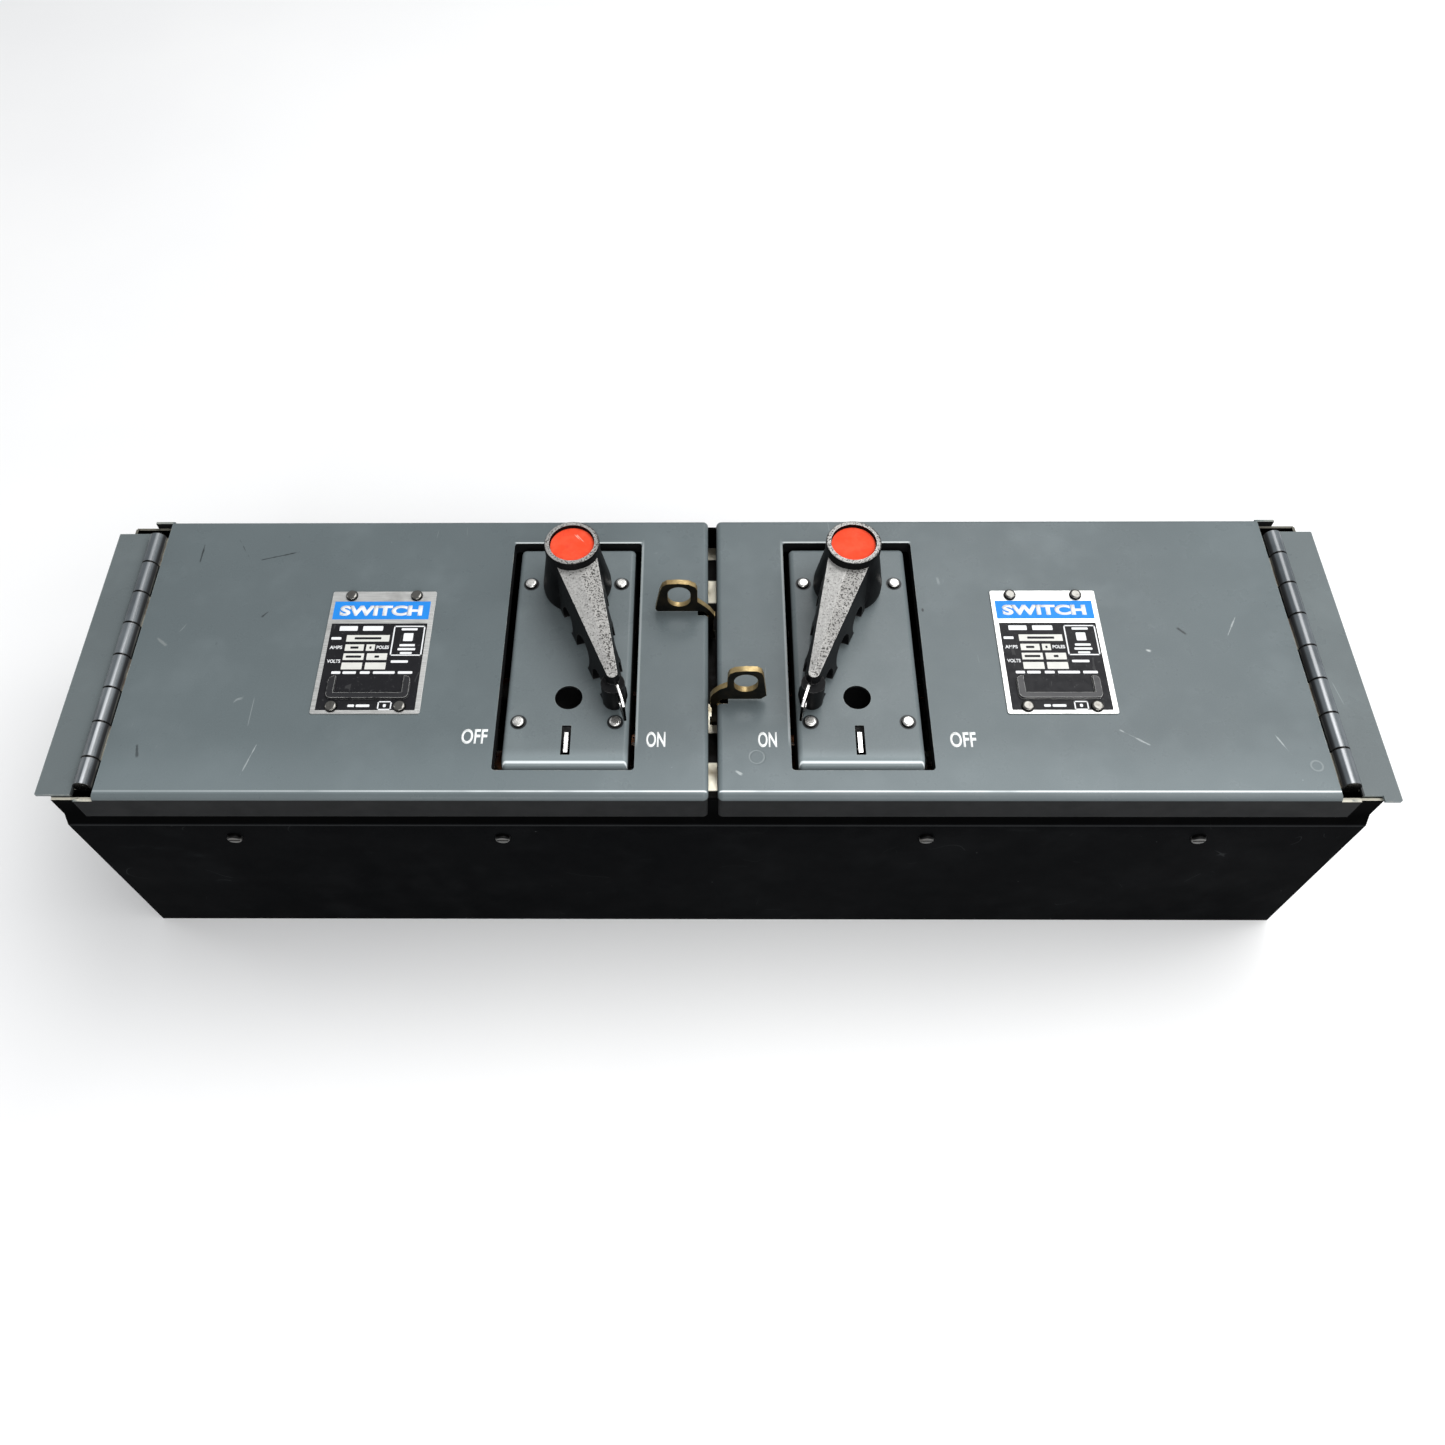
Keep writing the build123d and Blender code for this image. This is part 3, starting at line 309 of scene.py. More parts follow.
def cover_bend(s, colour, light):
    """The covers' near bend with a painted highlight, and dark rings round their rivets."""
    # painted highlight: a glow over the near bend, and a bright line where it turns toward the front
    glow = s.ramp(s.y, -70 * MM, -62 * MM, 0.5, 0.0)
    colour = s.mix(glow, colour, brighter(light, 1.8))
    line = s.both(s.inside(s.facing((0, -1, 0)), 0.42, 0.56, 0.05), 0.8)
    # a dark ring round each rivet
    for x, y in COVER_RIVETS:
        colour = s.mix(s.ramp(s.away(x, y), 4.2 * MM, 4.7 * MM, 0.94, 0.0), colour, SOOT)
    return s.mix(line, colour, GLINT)


def hinge_shadow(s, colour):
    """Painted shadow along the flange beside the hinge, where the gap next to the knuckles is dark."""
    start = HINGE_X + HINGE_R + 1.2 * MM
    return s.mix(s.ramp(s.size(s.x), start, start + 0.3 * MM, 0.9, 0.0), colour, SOOT)


def wall_step(s, colour):
    """The bend of the stepped wall, with a painted highlight along it and painted shade above it under the
    door's lip.
    """
    line = s.inside(s.z, 131.6 * MM, 133.0 * MM, 0.3 * MM)
    colour = s.mix(line, colour, (0.020, 0.021, 0.022))
    return s.mix(s.ramp(s.z, 133.4 * MM, 134.0 * MM, 0.0, 0.8), colour, (0.0006, 0.0006, 0.0006))


def sheared_edge(s, colour, height):
    """Upper edges of the sheet, cut bare near the ends of the unit."""
    cut = s.ramp(s.facing((0, 0, 1)), 0.7, 0.9)
    cut = s.both(cut, s.ramp(s.z, height - 0.2 * MM, height + 0.1 * MM))
    cut = s.both(cut, s.ramp(s.size(s.x), BARE_BEYOND, BARE_BEYOND + 0.2 * MM))
    cut = s.both(cut, s.ramp(s.y, 0.0, 1.0 * MM, 1.0, 0.25))
    return s.mix(s.both(cut, s.ramp(s.noise(110, 3), 0.30, 0.45)), colour, (0.52, 0.50, 0.42))


def enamel(name, kind, tones, wear=1.0, upright_shade=0.0, dents=(), marks=(), specular=0.2, gloss=(0.26, 0.36),
           cut_height=None):
    """Satin enamel on sheet steel. Kind is door, cover, flange or wall, and the share given for upright
    faces paints them darker, as painted shade.
    """
    s = Shader(name, specular=specular)
    light = tones[1]
    colour, scratch = painted_face(s, tones, wear)
    for start, end, width, tone in marks:
        colour = s.mix(s.both(s.stroke(start, end, width), 0.75), colour, tone)
    colour = smeared_and_chipped(s, colour, light, wear)
    if kind == "door":
        colour = door_bend(s, near_sheen(s, colour, light))
    elif kind == "cover":
        colour = cover_bend(s, near_sheen(s, colour, light), light)
    elif kind == "flange":
        colour = hinge_shadow(s, colour)
    rough = s.ramp(s.noise(60, 4, 0.6), 0.3, 0.75, *gloss)
    rough = s.plus(rough, s.both(scratch, 0.15))
    if upright_shade:
        # painted shade on upright faces
        upright = s.ramp(s.size(s.facing((0, 0, 1))), 0.10, 0.45, upright_shade, 0.0)
        colour = s.mix(upright, colour, (0.003, 0.003, 0.0035))
        rough = s.plus(rough, s.both(upright, 0.5))
    if kind == "wall":
        colour = wall_step(s, colour)
    if cut_height:
        colour = sheared_edge(s, colour, cut_height)
    normal = s.bump(s.noise(420, 2, 0.5), 0.03 * MM, strength=0.4)
    for x, y, radius, depth in dents:
        off_ring = s.size(s.minus(s.away(x * MM, y * MM), radius * MM))
        ring = s.ramp(off_ring, 0.0, 0.9 * MM)
        normal = s.bump(ring, depth * MM, normal)
        # painted highlight: a pale ring round each dent
        colour = s.mix(s.ramp(ring, 0.2, 0.9, 0.30, 0.0), colour, DUST)
    return s.done(colour, rough, normal)


def rolled_hinge(name, first_joint):
    """Glossy dark knuckles, with a painted highlight along them, painted shade on the door's side, and
    rubbed metal and rust round their ends.
    """
    s = Shader(name, specular=0.5)
    colour = s.mix(s.ramp(s.noise(40, 4), 0.35, 0.7), (0.060, 0.070, 0.078), (0.105, 0.120, 0.130))
    streak = s.noise(160, 3, 0.6, s.stretched((1, 0.05, 1)))
    off_axis = s.minus(s.size(s.x), HINGE_X)
    # a painted highlight lies along each knuckle, brightest toward the near end
    crown_highlight = s.inside(off_axis, -1.9 * MM, -0.5 * MM, 0.5 * MM)
    crown_highlight = s.both(crown_highlight, s.ramp(s.y, -90 * MM, 60 * MM, 1.0, 0.35))
    colour = s.mix(s.both(crown_highlight, s.ramp(streak, 0.35, 0.65, 0.35, 1.0)), colour, (0.62, 0.64, 0.66))
    # the leaves are stained where they show beside the knuckles
    leaf = s.ramp(s.size(off_axis), HINGE_R - 0.2 * MM, HINGE_R + 0.1 * MM)
    knuckle = s.minus(1.0, leaf)
    tan = s.mix(s.ramp(s.noise(90, 3), 0.4, 0.6), (0.13, 0.095, 0.06), (0.30, 0.28, 0.22))
    stained = s.ramp(s.facing((0, 0, 1)), -0.3, 0.3, 0.12, 0.8)
    colour = s.mix(s.both(leaf, stained), colour, tan)
    # painted shade on the door's side of the knuckles
    dirt = s.both(s.ramp(off_axis, -4.2 * MM, -3.2 * MM, 1.0, 0.0), knuckle)
    colour = s.mix(s.both(dirt, 0.95), colour, (0.003, 0.003, 0.004))
    end_face = s.ramp(s.size(s.facing((0, 1, 0))), 0.3, 0.6)
    edge = s.both(s.edges(0.5 * MM), knuckle)
    worn = s.both(edge, s.ramp(s.noise(260, 3), 0.60, 0.66))
    colour = s.mix(s.both(edge, 0.85), colour, (0.006, 0.006, 0.006))
    colour = s.mix(worn, colour, s.mix(s.ramp(s.noise(60, 2), 0.48, 0.62), (0.52, 0.52, 0.50), RUST))
    # oil and dirt fill the joints between the knuckles
    off_joint = s.math("PINGPONG", s.minus(s.y, first_joint), KNUCKLE_PITCH / 2)
    joint = s.both(s.ramp(off_joint, 0.55 * MM, 0.80 * MM, 1.0, 0.0), knuckle)
    colour = s.mix(s.either(end_face, joint), colour, (0.002, 0.002, 0.002))
    rough = s.plus(s.ramp(streak, 0.3, 0.7, 0.20, 0.32), s.both(dirt, 0.4))
    normal = s.bump(s.noise(500, 2), 0.02 * MM, strength=0.4)
    return s.done(colour, rough, normal, metallic=s.both(worn, 0.4))


def cast_handle(name):
    """Black cast lever, with the tops of the arm and rim worn back to pitted grey metal."""
    s = Shader(name, specular=0.07)
    pits = s.noise(1050, 2, 0.55)
    cloud = s.noise(70, 4, 0.6)
    black = s.mix(s.ramp(cloud, 0.4, 0.7), (0.0020, 0.0020, 0.0023), (0.0062, 0.0064, 0.0070))
    metal = s.mix(s.ramp(s.noise(900, 3, 0.7), 0.35, 0.65), (0.29, 0.286, 0.276), (0.43, 0.425, 0.41))
    # pits lie thickest on the right of each arm's ridge and toward the tip
    thick = s.ramp(s.noise(60, 3, 0.6), 0.36, 0.60, 0.0, 0.035)
    right_slope = s.ramp(s.facing((1, 0, 0)), -0.03, 0.05)
    thick = s.plus(thick, s.both(right_slope, 0.085))
    thick = s.plus(thick, s.ramp(s.y, -40 * MM, 10 * MM, 0.03, 0.0))
    rim = s.ramp(s.z, HANDLE_TOP - 2.5 * MM, HANDLE_TOP - 1.5 * MM)
    thick = s.plus(thick, s.both(rim, 0.06))
    pit = s.ramp(s.plus(pits, thick), 0.645, 0.690)
    # painted shade: the right-facing slope is painted darker
    metal = s.mix(s.both(right_slope, 0.62), metal, (0.15, 0.147, 0.14))
    metal = s.mix(s.both(pit, 0.9), metal, (0.022, 0.021, 0.020))
    # the upper faces of the arm and rim are bare, and edges wear through lower down
    top = s.ramp(s.facing((0, 0, 1)), 0.70, 0.86)
    top = s.both(top, s.ramp(s.z, HANDLE_TOP - 18.6 * MM, HANDLE_TOP - 17.6 * MM))
    edge = s.both(s.edges(0.6 * MM), s.ramp(s.noise(420, 3, 0.7), 0.36, 0.5))
    above = s.ramp(s.z, HANDLE_TOP - 20 * MM, HANDLE_TOP - 16 * MM)
    worn = s.either(top, s.both(edge, s.plus(0.25, s.both(above, 0.6))))
    metal = s.mix(s.both(edge, s.both(above, 0.8)), metal, (0.70, 0.69, 0.66))
    colour = s.mix(worn, black, metal)
    normal = s.bump(pits, 0.10 * MM, strength=0.7)
    return s.done(colour, s.ramp(cloud, 0.3, 0.7, 0.36, 0.46), normal, metallic=s.both(worn, 0.55))


# scratches on the left disc, from and to, in millimetres
DISC_SCRATCHES = (((-74.9, 50.2), (-69.4, 43.2)), ((-75.8, 50.0), (-73.0, 46.6)))


def red_disc(name):
    """Scratched red insert, chalky where it has been rubbed."""
    s = Shader(name, specular=0.02)
    colour = s.mix(s.ramp(s.noise(120, 4, 0.6), 0.35, 0.7), (0.76, 0.066, 0.027), (0.86, 0.092, 0.044))
    colour = s.mix(s.ramp(s.noise(300, 4, 0.7), 0.5, 0.75, 0.0, 0.5), colour, (0.56, 0.050, 0.030))
    for start, end in DISC_SCRATCHES:
        colour = s.mix(s.both(s.stroke(start, end, 0.18), 0.6), colour, (0.88, 0.55, 0.46))
    normal = s.bump(s.noise(700, 2), 0.02 * MM)
    return s.done(colour, s.ramp(s.noise(200, 3), 0.3, 0.7, 0.55, 0.7), normal)


def bright_metal(name, colour=(0.66, 0.65, 0.62), dirt=(0.12, 0.11, 0.10), rough=(0.22, 0.42), dirty=0.6,
                 foot=0.0, metallic=0.9):
    """Plated steel with dull patches, fine scratches and dirt in its hollows, and painted shade set by how
    far each face turns from up.
    """
    s = Shader(name, metallic=metallic)
    blotch = s.noise(220, 4, 0.65)
    tone = s.mix(s.ramp(blotch, 0.48, 0.70, 0.0, dirty), colour, dirt)
    fine = s.noise(900, 2, 0.6, s.stretched((1, 0.1, 0.1)))
    clean = tuple(min(0.85, c) for c in brighter(colour, 1.3))
    tone = s.mix(s.ramp(fine, 0.5, 0.7, 0.0, 0.25), tone, clean)
    if foot:
        # painted shade, set by how far each face turns from up
        tone = s.mix(s.ramp(s.facing((0, 0, 1)), 0.35, foot, 1.0, 0.0), tone, (0.006, 0.006, 0.006))
    normal = s.bump(s.noise(600, 3), 0.04 * MM, strength=0.7)
    return s.done(tone, s.ramp(blotch, 0.3, 0.7, *rough), normal)


def latch_zinc(name):
    """Yellow-passivated latch: gold, with painted shade on its broad faces that face along Y, and rubbed
    gold on its edges.
    """
    s = Shader(name, metallic=0.7, specular=0.2)
    blotch = s.noise(140, 4, 0.6)
    dark = s.mix(s.ramp(blotch, 0.35, 0.7), (0.0050, 0.0042, 0.0030), (0.020, 0.015, 0.008))
    gold = s.mix(s.ramp(blotch, 0.3, 0.7), (0.46, 0.35, 0.17), (0.22, 0.155, 0.07))
    rim = s.both(s.edges(0.5 * MM), s.ramp(s.noise(400, 2), 0.35, 0.5))
    # painted shade: faces along Y are dark, the rest gold
    clean = s.ramp(s.size(s.facing((0, 1, 0))), 0.15, 0.4, 1.0, 0.0)
    colour = s.mix(s.either(clean, s.both(rim, 0.8)), dark, gold)
    normal = s.bump(s.noise(700, 2), 0.03 * MM)
    return s.done(colour, s.ramp(blotch, 0.3, 0.7, 0.28, 0.46), normal)


# yellow and white stretches of the keeper bar, from and to along Y in millimetres, and their share
KEEPER_BANDS = ((81.0, 90.3, 1.0), (48.5, 64.9, 0.8), (-40.9, -22.0, 1.0), (-77.0, -59.9, 0.9))


def keeper_zinc(name):
    """Near-black zinc bar with yellow and white stretches along it."""
    s = Shader(name, metallic=0.7, specular=0.2)
    blotch = s.noise(140, 4, 0.6)
    dark = s.mix(s.ramp(blotch, 0.35, 0.7), (0.00060, 0.00050, 0.00036), (0.0024, 0.0018, 0.00096))
    gold = s.mix(s.ramp(blotch, 0.3, 0.7), (0.46, 0.35, 0.17), (0.22, 0.155, 0.07))
    gold = s.mix(s.ramp(s.noise(50, 3), 0.3, 0.5), gold, (0.95, 0.90, 0.74))
    rim = s.both(s.edges(0.5 * MM), s.ramp(s.noise(400, 2), 0.35, 0.5))
    clean = s.both(rim, 0.15)
    for low, high, share in KEEPER_BANDS:
        clean = s.either(clean, s.both(s.inside(s.y, low * MM, high * MM, 0.4 * MM), share))
    normal = s.bump(s.noise(700, 2), 0.03 * MM)
    return s.done(s.mix(clean, dark, gold), s.ramp(blotch, 0.3, 0.7, 0.28, 0.46), normal)


def nameplate_metal(name):
    """Brushed aluminium plate. The raised card pocket is printed black and rubbed on its edges."""
    s = Shader(name, metallic=0.75)
    brush = s.noise(1400, 3, 0.6, s.stretched((0.04, 1, 1)))
    metal = s.mix(s.ramp(brush, 0.3, 0.7), (0.58, 0.58, 0.56), (0.74, 0.74, 0.72))
    metal = s.mix(s.ramp(s.noise(45, 4), 0.55, 0.72, 0.0, 0.45), metal, (0.26, 0.255, 0.24))
    rubbed = s.both(s.edges(0.7 * MM), s.ramp(s.noise(160, 3), 0.32, 0.46))
    black = s.mix(s.both(rubbed, 0.9), (0.012, 0.012, 0.014), (0.55, 0.55, 0.53))
    pocket = s.ramp(s.z, DOOR_TOP + 0.85 * MM, DOOR_TOP + 0.95 * MM)
    colour = s.mix(pocket, metal, black)
    normal = s.bump(brush, 0.02 * MM)
    return s.done(colour, s.ramp(brush, 0.3, 0.7, 0.30, 0.42), normal,
                  metallic=s.ramp(pocket, 0.0, 1.0, 0.8, 0.15))


def print_ink(name, colour, worn=(0.5, 0.5, 0.48), wear=0.5, rough=0.35):
    """Printed or painted layer, thin in places and finely scratched."""
    s = Shader(name, specular=0.12)
    thin = s.ramp(s.noise(700, 4, 0.7), 0.60, 0.72, 0.0, wear)
    rub = s.both(s.hairlines(120, 0.006, 0.4, 0.1, 0.6), 0.6)
    tone = s.mix(s.ramp(s.noise(160, 3), 0.3, 0.7, 0.0, 0.25), colour, brighter(colour, 0.7))
    tone = s.mix(s.either(thin, s.both(rub, wear)), tone, worn)
    return s.done(tone, s.ramp(s.noise(300, 2), 0.3, 0.7, rough, rough + 0.15))


def moulded(name, colour, fleck):
    """Moulded thermoset insulator with a mottled, slightly dusty face."""
    s = Shader(name, specular=0.45)
    tone = s.mix(s.ramp(s.noise(80, 5, 0.65), 0.35, 0.7), colour, fleck)
    tone = s.mix(s.ramp(s.facing((0, 0, 1)), 0.6, 1.0, 0.0, 0.18), tone, (0.30, 0.28, 0.25))
    normal = s.bump(s.noise(450, 3, 0.6), 0.05 * MM)
    return s.done(tone, s.ramp(s.noise(120, 3), 0.3, 0.7, 0.42, 0.6), normal)


def copper(name, tinned=0.0):
    """Copper bar, browned by heat, with tin left on part of it."""
    s = Shader(name, metallic=0.95)
    bloom = s.noise(60, 5, 0.6)
    tone = s.mix(s.ramp(bloom, 0.35, 0.7), (0.60, 0.27, 0.14), (0.30, 0.12, 0.07))
    tin = s.ramp(s.noise(35, 3), 0.42, 0.58, 0.0, tinned)
    tone = s.mix(tin, tone, (0.62, 0.61, 0.58))
    brush = s.noise(900, 2, 0.5, s.stretched((0.1, 1, 1)))
    return s.done(tone, s.ramp(brush, 0.3, 0.7, 0.26, 0.42), s.bump(brush, 0.02 * MM))


def fibre_tube(name):
    """Wound fibre fuse tube, with a spiral lap and soot freckles."""
    s = Shader(name, specular=0.25)
    lap = s.node("ShaderNodeTexWave", Vector=s.stretched((1, 0.25, 0.25)), Scale=32.0, Distortion=0.4)
    tone = s.mix(s.ramp(lap.outputs["Fac"], 0.0, 0.25), (0.20, 0.22, 0.15), (0.30, 0.33, 0.22))
    tone = s.mix(s.ramp(s.noise(300, 4, 0.7), 0.6, 0.75, 0.0, 0.5), tone, (0.12, 0.12, 0.08))
    normal = s.bump(s.noise(1200, 2, 0.5, s.stretched((1, 0.2, 0.2))), 0.05 * MM)
    return s.done(tone, 0.72, normal)


def pale_floor():
    """Off-white studio floor, very slightly uneven in tone."""
    s = Shader("studio_floor", specular=0.2)
    tone = s.mix(s.ramp(s.noise(3, 3), 0.3, 0.7), (0.86, 0.86, 0.86), (0.89, 0.89, 0.885))
    return s.done(tone, 0.65)


# dents in the right door: middle in X and Y, radius and depth, all in millimetres
RIGHT_DENTS = ((23.2, -68.6, 3.9, 0.22), (314.3, -73.9, 3.0, 0.12))
# scratches, scuffs and chips: from, to and width in millimetres, and colour
LEFT_MARKS = (
    ((-306.4, -61.3), (-304.5, -68.6), 0.9, SOOT),
    ((-247.6, -79.4), (-242.1, -59.5), 0.35, DUST),
    ((-300.1, 75.3), (-300.2, 62.5), 0.5, SOOT),
    ((-264.0, 64.0), (-243.0, 69.9), 0.5, SOOT),
    ((-253.2, 26.2), (-256.0, 22.7), 0.7, SOOT),
    ((-53.8, 59.7), (-46.9, 63.4), 0.8, CHIP),
    ((-280.0, 79.0), (-272.0, 66.0), 0.35, SOOT),
    ((-312.0, 8.0), (-306.0, 3.0), 1.0, (0.20, 0.22, 0.22)),
)
RIGHT_MARKS = (
    ((297.2, -55.2), (303.0, -67.3), 0.4, DUST),
    ((216.1, -52.1), (230.2, -61.3), 0.4, DUST),
    ((259.9, 14.3), (264.0, 10.1), 0.9, SOOT),
    ((293.9, 21.8), (287.1, 9.4), 0.5, DUST),
    ((240.0, -0.6), (242.0, -1.4), 1.0, CHIP),
    ((12.0, -77.0), (15.0, -79.0), 0.8, CHIP),
)
MATERIALS = {
    "door_left": enamel("door_enamel_left", "door", DOOR_TONES, upright_shade=0.975, marks=LEFT_MARKS,
                        cut_height=FLANGE_BOTTOM),
    "door_right": enamel("door_enamel_right", "door", DOOR_TONES, upright_shade=0.975, dents=RIGHT_DENTS,
                         marks=RIGHT_MARKS, cut_height=FLANGE_BOTTOM),
    "cover": enamel("cover_enamel", "cover", COVER_TONES, wear=0.7, upright_shade=0.97),
    "flange": enamel("flange_enamel", "flange", FLANGE_TONES),
    "wall": enamel("shaded_wall_enamel", "wall", SHADED_WALL_TONES, wear=0.12, specular=0.004, gloss=(0.50, 0.62),
                   cut_height=WALL_TOP - 0.1 * MM),
    "left_hinge": rolled_hinge("left_hinge_enamel", KNUCKLES_LOW + SHORT_KNUCKLE),
    "right_hinge": rolled_hinge("right_hinge_enamel", KNUCKLES_HIGH - SHORT_KNUCKLE),
    "handle": cast_handle("cast_handle"),
    "disc": red_disc("red_insert"),
    "rivet": bright_metal("rivet_steel", (0.70, 0.69, 0.66), rough=(0.22, 0.36), dirty=0.2, foot=0.95),
    "plate_rivet": bright_metal("plate_rivet_steel", (0.20, 0.195, 0.18), rough=(0.12, 0.24), dirty=0.7,
                                foot=0.99),
    "screw": bright_metal("painted_screw", (0.10, 0.10, 0.097), rough=(0.3, 0.5), dirty=0.7, foot=0.1),
    "inner": bright_metal("inner_steel", (0.012, 0.012, 0.013), (0.006, 0.006, 0.006), (0.5, 0.7),
                          metallic=0.2),
    "steel": bright_metal("plated_steel"),
    "blade": bright_metal("tab_steel", (0.80, 0.79, 0.77), rough=(0.2, 0.34), dirty=0.25, foot=0.8),
    "zinc": latch_zinc("latch_zinc"),
    "keeper": keeper_zinc("keeper_zinc"),
    "nameplate": nameplate_metal("nameplate_aluminium"),
    "copper": copper("contact_copper"),
    "tinned": copper("tinned_copper", 0.9),
    "base": moulded("black_insulator", (0.020, 0.019, 0.018), (0.045, 0.042, 0.038)),
    "arm": moulded("red_insulator", (0.17, 0.045, 0.028), (0.24, 0.075, 0.045)),
    "tube": fibre_tube("fuse_fibre"),
    "lug": bright_metal("lug_aluminium", (0.70, 0.70, 0.69), rough=(0.3, 0.5), dirty=0.35),
    "white": print_ink("white_paint", (0.84, 0.86, 0.85), DOOR_TONES[1], 0.15, 0.5),
    "ink_black": print_ink("plate_black", (0.012, 0.012, 0.014), (0.16, 0.16, 0.16), 0.25),
    "ink_blue": print_ink("plate_blue", (0.020, 0.232, 0.70), (0.30, 0.48, 0.75), 0.10),
    "ink_silver": print_ink("plate_silver", (0.66, 0.66, 0.62), (0.42, 0.41, 0.39), 0.3),
    "ink_white": print_ink("plate_white", (0.78, 0.79, 0.80), (0.5, 0.5, 0.5), 0.3),
    "ferrule": bright_metal("ferrule_brass", (0.62, 0.44, 0.20), (0.20, 0.12, 0.05), (0.25, 0.4)),
}


def pair(*names):
    """The left and right nodes of each name."""
    return [f"{side}_{name}" for name in names for side in SIDES]


NODE_LOOKS = {
    "door_left": ["left_door"],
    "door_right": ["right_door"],
    "cover": pair("cover_plate"),
    "flange": pair("end_flange"),
    "wall": ["back_plate", "upper_side_wall", "lower_side_wall", *pair("end_wall")],
    "left_hinge": ["left_hinge_frame_leaf", "left_hinge_door_leaf", "left_hinge_pin"],
    "right_hinge": ["right_hinge_frame_leaf", "right_hinge_door_leaf", "right_hinge_pin"],
    "handle": pair("handle"),
    "disc": pair("handle_disc"),
    "rivet": ["cover_plate_rivets"],
    "plate_rivet": pair("nameplate_rivets"),
    "screw": ["wall_screws"],
    "inner": pair("mechanism_frame", "latch_guide"),
    "steel": ["guide_rods", "lug_screws", *pair("handle_shaft")],
    "blade": pair("lock_tab", "interlock_lever"),
    "zinc": pair("latch"),
    "keeper": ["keeper_bar"],
    "nameplate": pair("nameplate"),
    "copper": ["fuse_blades", *pair("switch_blades")],
    "tinned": ["bus_jaws", "line_straps", "line_contacts", "load_contacts", "line_fuse_clips",
               "load_fuse_clips"],
    "base": ["switch_bases", "fuse_bases"],
    "arm": ["arc_barriers", *pair("contact_carriage")],
    "tube": ["fuse_tubes"],
    "lug": ["load_lugs"],
}


# ------------------------------------------------------------------ CAD finish
def smooth_group(name, angle):
    """Geometry nodes that weld a CAD mesh and shade it smooth except across edges sharper than angle."""
    group = bpy.data.node_groups.new(name, "GeometryNodeTree")
    group.interface.new_socket("Geometry", in_out="INPUT", socket_type="NodeSocketGeometry")
    group.interface.new_socket("Geometry", in_out="OUTPUT", socket_type="NodeSocketGeometry")
    start = group.nodes.new("NodeGroupInput")
    end = group.nodes.new("NodeGroupOutput")
    weld = group.nodes.new("GeometryNodeMergeByDistance")
    weld.inputs["Distance"].default_value = 0.001 * MM
    faces = group.nodes.new("GeometryNodeSetShadeSmooth")
    sharp = group.nodes.new("GeometryNodeSetShadeSmooth")
    sharp.domain = "EDGE"
    sharp.inputs["Shade Smooth"].default_value = False
    edge = group.nodes.new("GeometryNodeInputMeshEdgeAngle")
    steep = group.nodes.new("FunctionNodeCompare")
    steep.operation = "GREATER_THAN"
    steep.inputs[1].default_value = angle
    link = group.links.new
    link(start.outputs[0], weld.inputs["Geometry"])
    link(weld.outputs[0], faces.inputs["Geometry"])
    link(faces.outputs[0], sharp.inputs["Geometry"])
    link(edge.outputs["Unsigned Angle"], steep.inputs[0])
    link(steep.outputs[0], sharp.inputs["Selection"])
    link(sharp.outputs[0], end.inputs[0])
    return group


SMOOTH = smooth_group("weld_and_smooth", math.radians(32))
# width of the eased edge in millimetres, and the nodes that have it
EASED = {
    0.25: pair("door", "cover_plate", "nameplate"),
    0.3: pair("lock_tab"),
    0.5: ["load_lugs", *pair("latch")],
    0.6: pair("handle", "contact_carriage"),
    0.8: ["switch_bases", "fuse_bases"],
}


def ease_edges(piece, width):
    """Clean flat faces, and a small rounded bevel on the edges between them."""
    weld = piece.modifiers.new("weld", "WELD")
    weld.merge_threshold = 0.001 * MM
    flat = piece.modifiers.new("flat", "DECIMATE")
    flat.decimate_type = "DISSOLVE"
    flat.angle_limit = math.radians(1.0)
    bevel = piece.modifiers.new("round", "BEVEL")
    bevel.width = width
    bevel.segments = 2
    bevel.angle_limit = math.radians(38)
    bevel.limit_method = "ANGLE"


for width, names in EASED.items():
    for name in names:
        ease_edges(nodes[name], width * MM)

for look, names in NODE_LOOKS.items():
    for name in names:
        piece = nodes[name]
        piece.data.materials.clear()
        piece.data.materials.append(MATERIALS[look])
        smooth = piece.modifiers.new("smooth", "NODES")
        smooth.node_group = SMOOTH
        even = piece.modifiers.new("even", "WEIGHTED_NORMAL")
        even.keep_sharp = True


# ------------------------------------------------------------------ piece makers
def finish_piece(piece, body, look):
    """Give a piece its material, and let it ride on its body."""
    piece.data.materials.clear()
    piece.data.materials.append(MATERIALS[look])
    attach(piece, body)


def mesh_piece(name, build):
    """A mesh object whose shape is made by build(bm)."""
    mesh = bpy.data.meshes.new(name)
    bm = bmesh.new()
    build(bm)
    bmesh.ops.recalc_face_normals(bm, faces=bm.faces)
    bm.to_mesh(mesh)
    bm.free()
    piece = bpy.data.objects.new(name, mesh)
    bpy.context.scene.collection.objects.link(piece)
    return piece


def outline_prism(bm, points, low, high):
    """A solid from an outline in X and Y, between two heights."""
    bottom = [bm.verts.new((x, y, low)) for x, y in points]
    top = [bm.verts.new((x, y, high)) for x, y in points]
    bm.faces.new(bottom[::-1])
    bm.faces.new(top)
    for i in range(len(points)):
        j = (i + 1) % len(points)
        bm.faces.new((bottom[i], bottom[j], top[j], top[i]))


def round_rectangle(cx, cy, width, height, radius, steps=5):
    """Outline of a rectangle with round corners, anticlockwise."""
    points = []
    for corner in range(4):
        turn = corner * math.pi / 2
        sx = 1 if corner in (0, 3) else -1
        sy = 1 if corner in (0, 1) else -1
        for i in range(steps + 1):
            angle = turn + i / steps * math.pi / 2
            points.append((cx + sx * (width / 2 - radius) + radius * math.cos(angle),
                           cy + sy * (height / 2 - radius) + radius * math.sin(angle)))
    return points


